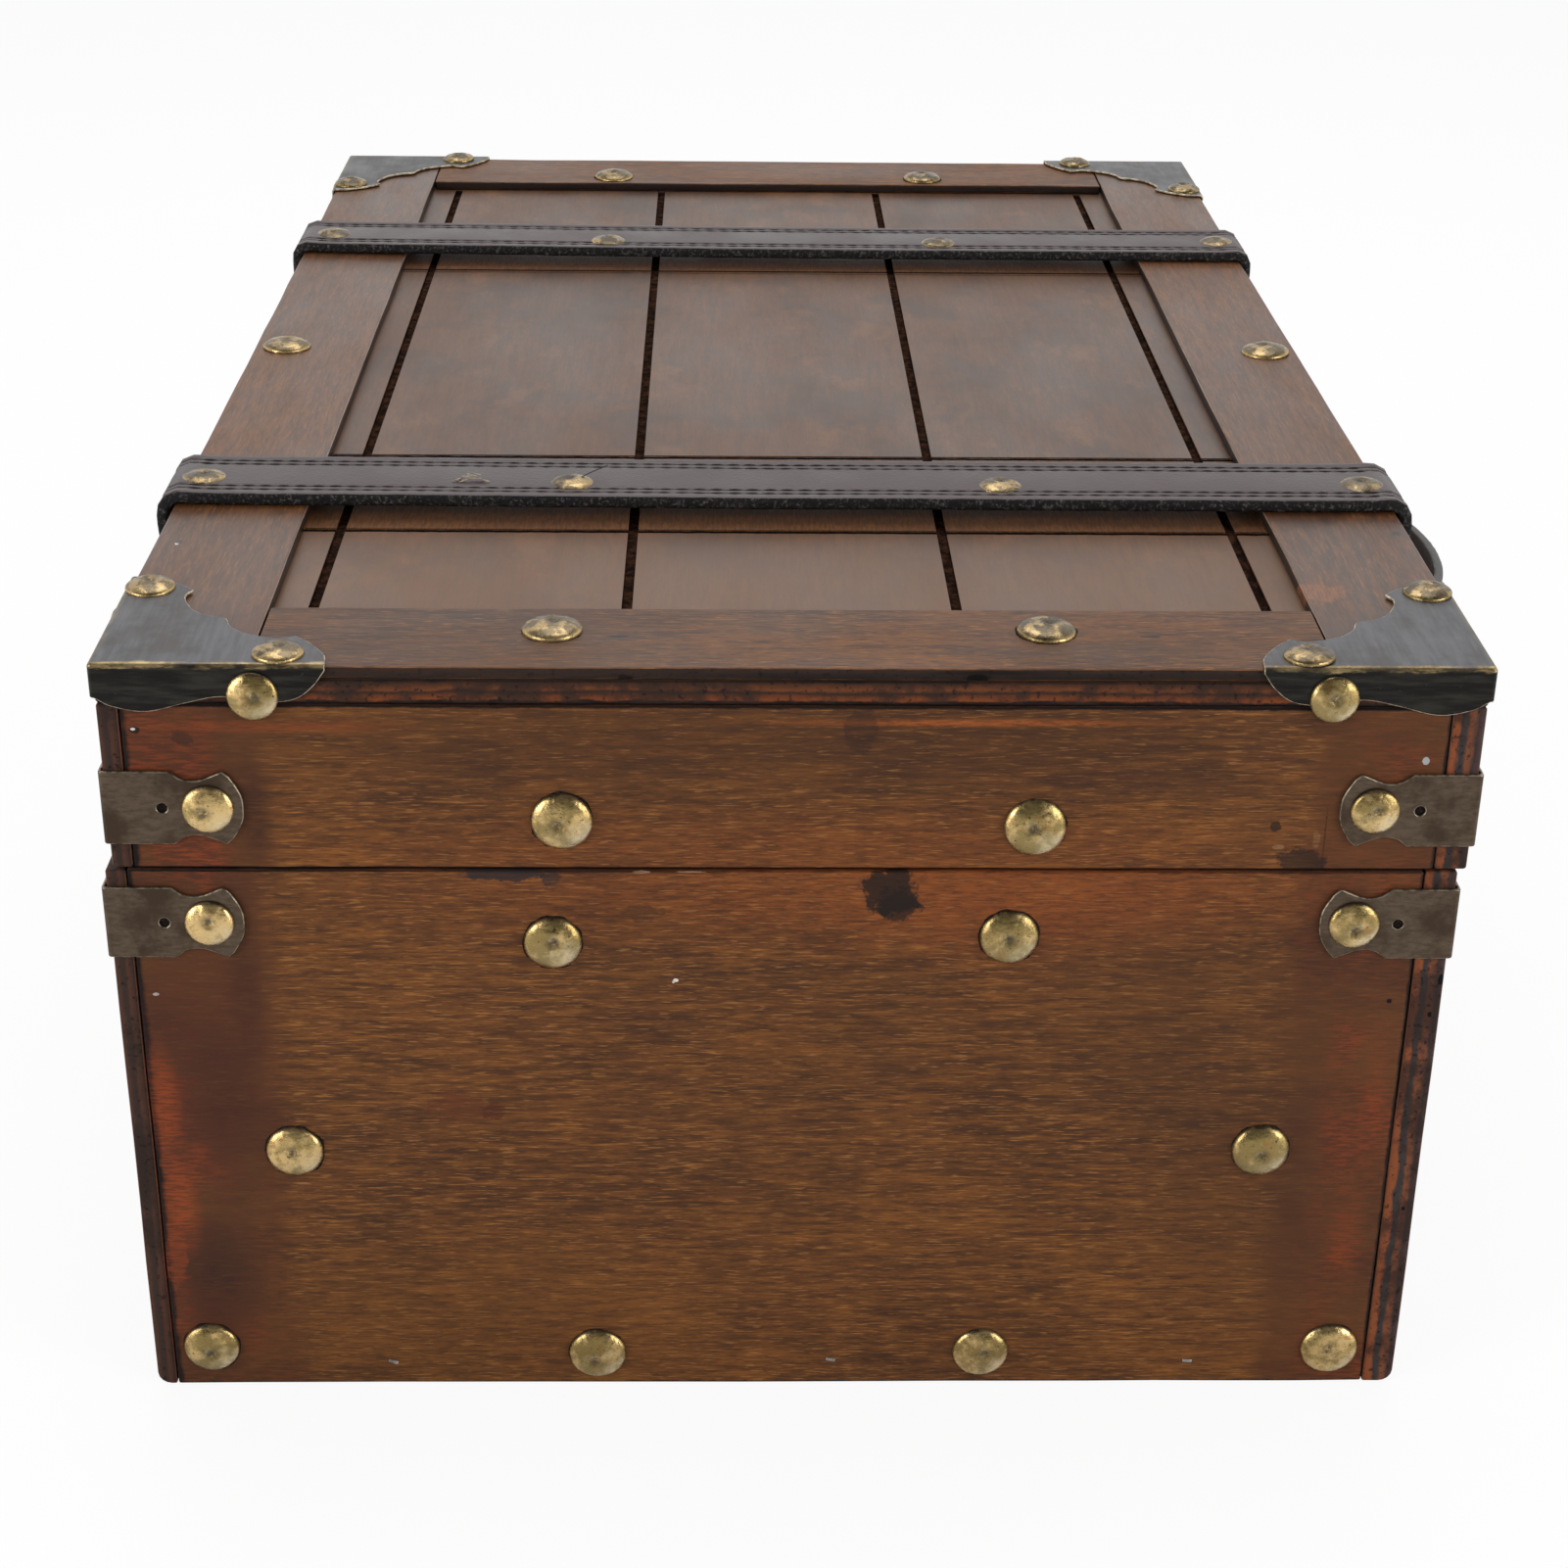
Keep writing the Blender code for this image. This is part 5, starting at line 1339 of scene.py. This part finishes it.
def stitch_band(name, line, outward, across, widths, depths):
    """The stitches along both sides of a band."""
    bm = bmesh.new()
    total = line[-1][1]
    wander = random.Random(len(name))

    def surface(at, inset, side):
        share = at / total * (len(line) - 1)
        i = min(int(share), len(line) - 2)
        t = share - i
        point = line[i][0].lerp(line[i + 1][0], t)
        out = outward[i].lerp(outward[i + 1], t).normalized()
        half = widths[i] + (widths[i + 1] - widths[i]) * t
        thick = depths[i] + (depths[i + 1] - depths[i]) * t
        inset *= min(1.0, half / STRAP_HALF)
        return point + across * side * (half - inset) + out * (thick - STITCH_SUNK), out, half

    for side in (-1, 1):
        for inset in STITCH_ROWS:
            at = 0.003
            while at + STITCH_LENGTH < total - 0.004:
                shift = wander.uniform(-STITCH_WANDER, STITCH_WANDER)
                start, out, half = surface(at, inset + shift, side)
                shift = wander.uniform(-STITCH_WANDER, STITCH_WANDER)
                end = surface(at + STITCH_LENGTH, inset + shift, side)[0]
                if half > 0.007:
                    add_stitch(bm, start, end, out, STITCH_RADIUS)
                at += STITCH_PITCH * wander.uniform(0.96, 1.04)
    return as_object(name, bm, THREAD, smooth=80)


def strap_line(end):
    """The inner face of a strap, from its nailed end on the lid's back, over the lid, to its hanging tip.

    The stiff leather stands off the lid's sharp edges where it bends over them."""
    hanging_low, hanging_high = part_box(f"strap_end_{end}")
    top = TOP + GAP
    inner = hanging_high.y
    bend = [(a if a < 0 else a * STRAP_STAND_OFF[end], b) for a, b in STRAP_BEND]
    over_back = [(LID_BACK + GAP + a, top + b) for a, b in bend]
    over_front = [(LID_FRONT - GAP - a, top + b) for a, b in bend]
    points = [(LID_BACK + GAP, LID_LOW + 0.0076), (LID_BACK + GAP, LID_LOW + 0.0200)]
    points += curve_through(over_back[::-1], 4)
    points += curve_through(over_front, 4)
    points += curve_through([(LID_FRONT - GAP - 0.0005, top - 0.0240), (inner, hanging_high.z - 0.002),
                             (inner, hanging_high.z - 0.012)], 6)
    points.append((inner, hanging_low.z))
    return points


def lying(y, z):
    """1 where a strap lies on the lid, and 0 where it hangs down the front."""
    fallen = min(max((TOP - z) / 0.030, 0.0), 1.0) if y < LID_MIDDLE else 0.0
    return 1 - fallen * fallen * (3 - 2 * fallen)


def strap_bow(end, y, z):
    """How far the strap lies off its line. It has slipped towards the near end, most of all at the front."""
    slip = STRAP_SLIP[end]
    share = min(max((LID_BACK - y) / (LID_BACK - LID_FRONT), 0.0), 1.0)
    on_top = slip * math.sin(math.pi * min(share, 0.72) / 1.44) if share < 0.72 else slip
    return -(on_top + STRAP_SHIFT[end]) * lying(y, z)


def make_strap(end, side):
    """A strap with its hanging end, in one piece of leather that bends where the end folds up."""
    x = side * STRAP_X
    line = resampled([(0.0, y, z) for y, z in strap_line(end)], STRAP_STEP)
    line = [(Vector((x + strap_bow(end, p.y, p.z), p.y, p.z)), at) for p, at in line]
    across = Vector((1, 0, 0))
    outward = outward_from(line, across, 2, (0, 0, 1))
    tip_z = line[-1][0].z
    depths = [STRAP_THICKNESS + STRAP_SWELL * lying(point.y, point.z) for point, at in line]
    widths = []
    for point, at in line:
        hanging = point.y < LID_FRONT and point.z < tip_z + STRAP_TIP
        share = math.sqrt(max((point.z - tip_z) / STRAP_TIP, 0.0)) if hanging else 1.0
        widths.append(STRAP_HALF * max(share, 0.12) + STRAP_SPREAD * lying(point.y, point.z))
    band = (line, outward, across, widths, depths)
    strap = sweep_band(f"strap_{end}", *band, (LEATHER, LEATHER_EDGE), side)
    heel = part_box(f"buckle_frame_{end}")[0].z + BUCKLE_WIRE
    slot = rectangle(x - SLOT_HALF, x + SLOT_HALF, heel - SLOT_BELOW, heel + SLOT_ABOVE)
    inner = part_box(f"strap_end_{end}")[1].y
    cut(strap, slot, "Y", inner - 2 * STRAP_THICKNESS, inner + STRAP_THICKNESS)
    stitches = stitch_band(f"strap_stitches_{end}", *band)
    joint = next(j for j in frame["joints"] if j["name"] == f"{end}_strap_fold")
    _, y, z = joint["pos_m"]
    above = (x, y, z + FOLD_REACH)
    below = (x, y, z - FOLD_REACH)
    for piece in (strap, stitches):
        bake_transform(piece, "lid", f"{end}_strap_end", start=above, end=below)
    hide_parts(f"lid_strap_{end}", f"strap_end_{end}")
    top = TOP + GAP + STRAP_THICKNESS + STRAP_SWELL - 3 * STUD_SUNK
    places = []
    for y, off in zip(STRAP_STUDS[end], STRAP_STUDS_OFF[end]):
        places.append(((x + strap_bow(end, y, top) - off, y, top), (0, 0, 1)))
    behind = LID_BACK + GAP + STRAP_THICKNESS + STRAP_SWELL - STUD_SUNK
    places.append(((x - STRAP_SHIFT[end], behind, LID_LOW + STRAP_BACK_STUD_UP), (0, 1, 0)))
    make_studs(f"studs_strap_{end}", places, "lid")


def make_base_strap(end, side):
    """The short strap nailed to the front of the base."""
    low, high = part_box(f"base_strap_{end}")
    x = side * STRAP_X
    inner = -HALF_WIDTH - GAP
    line = resampled([(x, inner, high.z), (x, inner, low.z)], BASE_STRAP_STEP)
    outward = [Vector((0, -1, 0))] * len(line)
    across = Vector((1, 0, 0))
    widths = [STRAP_HALF] * len(line)
    depths = [STRAP_THICKNESS] * len(line)
    band = (line, outward, across, widths, depths)
    strap = sweep_band(f"base_strap_{end}_leather", *band, (LEATHER, LEATHER_EDGE), side * 4)
    attach(strap, "base", "leather", f"base_strap_{end}")
    attach(stitch_band(f"base_strap_stitches_{end}", *band), "base", "leather")
    face = inner - STRAP_THICKNESS
    places = [((x, face, z), (0, -1, 0)) for z in BASE_STRAP_STUDS]
    make_studs(f"studs_base_strap_{end}", places, "base")


def tube(name, path, radius, sides, finish, closed):
    """A round wire along a path of points. Radius may be a list with a value for each point."""
    bm = bmesh.new()
    count = len(path)
    radii = radius if isinstance(radius, list) else [radius] * count
    rings = []
    normal = None
    for i, point in enumerate(path):
        before = path[i - 1] if closed or i else path[0]
        after = path[(i + 1) % count] if closed or i < count - 1 else path[-1]
        along = (after - before).normalized()
        if normal is None:
            normal = along.orthogonal().normalized()
        normal = (normal - along * normal.dot(along)).normalized()
        other = along.cross(normal)
        ring = []
        for k in range(sides):
            angle = math.tau * k / sides
            ring.append(bm.verts.new(point + (normal * math.cos(angle) + other * math.sin(angle)) * radii[i]))
        rings.append(ring)
    join_rings(bm, rings, closed)
    if not closed:
        bm.faces.new(rings[0])
        bm.faces.new(rings[-1])
    return as_object(name, bm, finish, smooth=70)


BUCKLE_WIRE = 0.0012
BUCKLE_CORNER = 0.0042
BUCKLE_STEP = 0.0012
PRONG_EYE = 0.00175
PRONG_EYE_WIRE = 0.00062
PRONG_WIRE = 0.00085
PRONG_TAPER = 0.00035
PRONG_FLATNESS = 1.7
KEEPER_SHEET = 0.0014
KEEPER_CORNER = 0.0018
KEEPER_ROUNDING = 0.0004


def make_buckle(end, side):
    """The wire frame and its prong."""
    x = side * STRAP_X
    low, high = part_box(f"buckle_frame_{end}")
    heel = Vector((x, high.y - BUCKLE_WIRE, low.z + BUCKLE_WIRE))
    front = Vector((x, low.y + BUCKLE_WIRE, high.z - BUCKLE_WIRE))
    rise = front - heel
    half_height = rise.length / 2
    up = rise.normalized()
    half = (high.x - low.x) / 2 - BUCKLE_WIRE
    loop = round_rectangle((0, half_height), half, half_height, BUCKLE_CORNER, 6)
    path = [heel + Vector((1, 0, 0)) * a + up * b for a, b in loop]
    path = [point for point, _ in resampled([*path, path[0]], BUCKLE_STEP)][:-1]
    ring = tube(f"buckle_frame_{end}_wire", path, BUCKLE_WIRE, 14, BRASS, True)
    attach(ring, f"{end}_strap_end", "antique_brass", f"buckle_frame_{end}")

    strap_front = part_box(f"strap_end_{end}")[0].y
    last_turn = math.pi + math.tau * 14 / 16
    eye = arc((heel.y, heel.z), PRONG_EYE, math.pi, last_turn, 14)
    arm = curve_through([
        (heel.y - PRONG_EYE, heel.z), (strap_front - 0.0010, heel.z + 0.0002),
        (strap_front - 0.0017, heel.z + 0.0028), (front.y - 0.0022, front.z - 0.0045),
        (front.y - 0.0024, front.z), (front.y - 0.0021, front.z + 0.0038)], 5)
    places = [Vector((x, y, z)) for y, z in [*reversed(eye[1:]), *arm]]
    radii = [PRONG_EYE_WIRE] * (len(eye) - 1)
    radii += [PRONG_WIRE - PRONG_TAPER * i / len(arm) for i in range(len(arm))]
    prong = tube(f"buckle_prong_{end}_wire", places, radii, 10, BRASS, False)
    for vert in prong.data.vertices:
        vert.co.x = x + (vert.co.x - x) * PRONG_FLATNESS
    attach(prong, f"{end}_prong", "antique_brass", f"buckle_prong_{end}")


def make_keeper(end, side):
    """The leather loop below the buckle."""
    low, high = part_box(f"strap_keeper_{end}")
    middle = (side * STRAP_X, (low.y + high.y) / 2)
    half_x = (high.x - low.x) / 2
    half_y = (high.y - low.y) / 2
    bm = bmesh.new()
    rings = []
    for inset, heights in ((0.0, (low.z, high.z)), (KEEPER_SHEET, (high.z, low.z))):
        corner = KEEPER_CORNER - inset * 0.8
        points = round_rectangle(middle, half_x - inset, half_y - inset, corner, 4)
        rings += [[bm.verts.new((a, b, z)) for a, b in points] for z in heights]
    join_rings(bm, rings, closed=True)
    slice_across(bm, "Z", low.z, high.z, 4)
    keeper = as_object(f"strap_keeper_{end}_leather", bm, LEATHER)
    bevelled(keeper, KEEPER_ROUNDING, 3, 50)
    attach(keeper, f"{end}_strap_end", "leather", f"strap_keeper_{end}")


HANDLE_THICKNESS = 0.0028
HANDLE_SOLID_THICKNESS = 0.003
HANDLE_HALF_HEIGHT = 0.0100
HANDLE_PAD = 0.026
HANDLE_TURN = 0.010
HANDLE_TURN_STEPS = 10
HANDLE_STEP = 0.0024
HANDLE_STUD_IN = 0.013
HANDLE_LEAN = 0.007
HANDLE_FULLNESS = 1.15


def handle_line():
    """The handle's inner face seen from above, from its left end to its right end."""
    low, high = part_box("handle")
    turn = HANDLE_TURN
    thick = HANDLE_SOLID_THICKNESS
    steps = HANDLE_TURN_STEPS
    wall = -HALF_WIDTH - GAP - thick / 2
    rise = wall - thick / 2 - low.y
    turn_x = high.x - HANDLE_PAD
    arch = (turn_x**2 + rise**2) / (2 * rise) - turn
    centre_out = rise - arch
    lean = math.atan2(turn_x, turn - centre_out)
    inner = -thick / 2
    half = [(high.x, inner), (turn_x + 0.002, inner)]
    for i in range(steps + 1):
        t = lean * i / steps
        half.append((turn_x - (turn - inner) * math.sin(t), turn - (turn - inner) * math.cos(t)))
    for i in range(1, 3 * steps + 1):
        t = lean * (1 - i / (3 * steps))
        half.append(((arch + inner) * math.sin(t), centre_out + (arch + inner) * math.cos(t)))
    other = [(-a, b) for a, b in reversed(half[:-1])]
    return [(a, wall - b) for a, b in half + other][::-1]


def make_handle():
    """A leather band on edge, stitched along both sides and nailed flat at its ends."""
    low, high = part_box("handle")
    middle_z = (low.z + high.z) / 2
    wall = -HALF_WIDTH - GAP
    rise = wall - low.y
    leaning = []
    for x, y in handle_line():
        out = min(max((wall - y) / rise, 0.0), 1.0)
        fuller = 1 - (1 - out) ** HANDLE_FULLNESS
        leaning.append((x - HANDLE_LEAN * out * out * (3 - 2 * out), wall - fuller * rise, middle_z))
    line = resampled(leaning, HANDLE_STEP)
    across = Vector((0, 0, 1))
    outward = outward_from(line, across, 1, (0, -1, 0))
    widths = [HANDLE_HALF_HEIGHT] * len(line)
    depths = [HANDLE_THICKNESS] * len(line)
    band = (line, outward, across, widths, depths)
    attach(sweep_band("handle_band", *band, (HANDLE_LEATHER, HANDLE_EDGE), 3.3), "base", "leather", "handle")
    attach(stitch_band("handle_stitches", *band), "base", "leather")
    stud_x = high.x - HANDLE_STUD_IN
    face = wall - HANDLE_THICKNESS
    places = [((side * stud_x, face, middle_z), (0, -1, 0)) for side in (-1, 1)]
    make_studs("studs_handle", places, "base")


HINGE_ROUNDING = 0.0002


def make_hinges():
    for end in ENDS:
        for node in (f"hinge_base_leaf_{end}", f"hinge_lid_leaf_{end}", f"hinge_pin_{end}"):
            obj = frame["nodes"][node]
            obj.material_slots[0].material = BRONZE
            bevelled(obj, HINGE_ROUNDING, 2, 30)


# Small marks on the near end

# Across from the middle, up, and how far it leans
STAPLES = ((0.1022, 0.0071, 0.35), (-0.0139, 0.0075, 0.2), (-0.1093, 0.0069, 0.1))
STAPLE_HALF = 0.0013
STAPLE_WIRE = 0.00045
STAPLE_PROUD = 0.00025
STAPLE_DEPTH = 0.0010
STAPLE_ROUNDING = 0.00015


def make_staples():
    """Three staple crowns, driven flush near the foot of the near end."""
    metal = make_cut_edge("staple_wire", (0.42, 0.40, 0.38), (0.20, 0.19, 0.18))
    bm = bmesh.new()
    for y, z, lean in STAPLES:
        outline = rectangle(-STAPLE_HALF, STAPLE_HALF, -STAPLE_WIRE, STAPLE_WIRE)
        turned = [(y + a * math.cos(lean) - b * math.sin(lean), z + a * math.sin(lean) + b * math.cos(lean))
                  for a, b in outline]
        add_prism(bm, turned, "X", -END_X - STAPLE_PROUD, -END_X + STAPLE_DEPTH)
    staples = as_object("staples", bm, metal)
    bevelled(staples, STAPLE_ROUNDING, 2, 40)
    attach(staples, "base", "bronze_metal")


def make_loose_threads():
    """A few frayed thread ends on the near strap."""
    pale = make_thread("frayed_thread", (0.20, 0.16, 0.12))
    x0 = -STRAP_X - 0.0085
    top = TOP + GAP + STRAP_THICKNESS + STRAP_SWELL
    strands = (
        ((0.0, 0.0890, 0.0002), (0.0012, 0.0850, 0.0010), (0.0002, 0.0800, 0.0003)),
        ((0.0008, 0.0880, 0.0002), (0.0030, 0.0845, 0.0014), (0.0036, 0.0815, 0.0008)),
        ((-0.0004, 0.0870, 0.0002), (0.0004, 0.0830, 0.0009), (-0.0003, 0.0788, 0.0003)),
        ((0.0016, 0.0872, 0.0001), (0.0022, 0.0838, 0.0012), (0.0010, 0.0806, 0.0002)),
    )
    dark = ((-0.0006, 0.0560, 0.0002), (0.0022, 0.0525, 0.0016), (0.0072, 0.0470, 0.0024))

    def add_strand(name, points, steps, radius, thread):
        points = [(x0 + along, y, top + up) for along, y, up in points]
        path = [Vector(point) for point in curve_through(points, steps)]
        attach(tube(name, path, radius, 5, thread, False), "lid", "leather")

    for index, points in enumerate(strands):
        add_strand(f"frayed_end_{index}", points, 5, 0.00016, pale)
    add_strand("loose_thread", dark, 6, 0.00014, THREAD)


# Stage


def make_camera():
    data = bpy.data.cameras.new("camera")
    data.lens = CAMERA_LENS
    data.sensor_width = 36
    data.clip_start = 0.05
    data.clip_end = 50
    camera = bpy.data.objects.new("camera", data)
    bpy.context.scene.collection.objects.link(camera)
    yaw, pitch, roll = CAMERA_YAW, CAMERA_PITCH, CAMERA_ROLL
    level = math.cos(pitch)
    forward = Vector((math.cos(yaw) * level, -math.sin(yaw) * level, -math.sin(pitch)))
    right = Vector((-math.sin(yaw), -math.cos(yaw), 0))
    up = right.cross(forward)
    rolled_right = right * math.cos(roll) + up * math.sin(roll)
    rolled_up = up * math.cos(roll) - right * math.sin(roll)
    turn = Matrix((rolled_right, rolled_up, -forward)).transposed()
    camera.matrix_world = Matrix.Translation(CAMERA_PLACE) @ turn.to_4x4()
    bpy.context.scene.camera = camera


FLOOR_WHITE = (0.88, 0.88, 0.88, 1)
FLOOR_GLOW = 1.03
FLOOR_GLOW_SHARE = 0.86
FLOOR_DROP = 0.0002


def make_floor():
    bm = bmesh.new()
    bmesh.ops.create_grid(bm, x_segments=1, y_segments=1, size=8)
    for vert in bm.verts:
        vert.co.z = -FLOOR_DROP
    made = bpy.data.materials.new("floor_white")
    made.use_nodes = True
    tree = made.node_tree
    ray = add_node(tree, "ShaderNodeLightPath").outputs
    seen = math_node(tree, "MAXIMUM", ray["Is Camera Ray"], ray["Is Transmission Ray"])
    share = math_node(tree, "MULTIPLY", seen, FLOOR_GLOW_SHARE)
    diffuse = add_node(tree, "ShaderNodeBsdfDiffuse", {"Color": FLOOR_WHITE}).outputs[0]
    glow = add_node(tree, "ShaderNodeEmission", {"Strength": FLOOR_GLOW}).outputs[0]
    mix = add_node(tree, "ShaderNodeMixShader", {0: share, 1: diffuse, 2: glow})
    tree.links.new(mix.outputs[0], tree.nodes["Material Output"].inputs["Surface"])
    mesh = bpy.data.meshes.new("floor")
    bm.to_mesh(mesh)
    bm.free()
    mesh.materials.append(made)
    floor = bpy.data.objects.new("floor", mesh)
    bpy.context.scene.collection.objects.link(floor)


WORLD_LIGHT = 0.62


def make_world():
    """White to the camera. To the trunk it is a studio: pale round the horizon and darker overhead."""
    world = bpy.data.worlds.new("studio")
    bpy.context.scene.world = world
    world.use_nodes = True
    tree = world.node_tree
    background = tree.nodes["Background"]
    background.inputs["Color"].default_value = (1, 1, 1, 1)
    ray = add_node(tree, "ShaderNodeLightPath").outputs
    coordinates = add_node(tree, "ShaderNodeTexCoord").outputs["Generated"]
    parts = add_node(tree, "ShaderNodeSeparateXYZ", {0: coordinates}).outputs
    level = span_node(tree, parts["Z"], 0.55, 0.95, 1.0, 0.45)
    behind = span_node(tree, parts["X"], -0.45, 0.30, 0.22, 1.0)
    dimmed = math_node(tree, "MULTIPLY", level, WORLD_LIGHT)
    mirrored = math_node(tree, "MULTIPLY", level, behind)
    lit = add_node(tree, "ShaderNodeMix", {0: ray["Is Glossy Ray"], 2: dimmed, 3: mirrored}).outputs[0]
    seen = math_node(tree, "MAXIMUM", ray["Is Camera Ray"], lit)
    tree.links.new(seen, background.inputs["Strength"])


def make_lamp(name, place, target, size, power):
    data = bpy.data.lights.new(name, "AREA")
    data.shape = "RECTANGLE"
    data.size, data.size_y = size
    data.energy = power
    lamp = bpy.data.objects.new(name, data)
    bpy.context.scene.collection.objects.link(lamp)
    lamp.location = place
    lamp.rotation_mode = "QUATERNION"
    lamp.rotation_quaternion = (Vector(target) - Vector(place)).to_track_quat("-Z", "Y")


def make_stage():
    make_camera()
    make_floor()
    make_world()
    middle = (0, 0, 0.1)
    make_lamp("left_softbox", (-1.05, 1.40, 0.62), middle, (0.8, 0.9), 12.5)
    make_lamp("right_softbox", (-1.05, -1.40, 0.55), middle, (0.8, 0.9), 12.5)
    make_lamp("overhead_softbox", (0.5, 0.0, 1.7), middle, (1.2, 1.2), 11.5)
    bpy.context.scene.view_settings.view_transform = "Standard"


make_stage()
make_walls()
make_wall_studs()
make_panel()
make_strips()
make_strip_studs()
make_corner_plates()
make_brackets()
for end_name, end_side in ENDS.items():
    make_strap(end_name, end_side)
    make_base_strap(end_name, end_side)
    make_buckle(end_name, end_side)
    make_keeper(end_name, end_side)
make_handle()
make_hinges()
make_staples()
make_loose_threads()
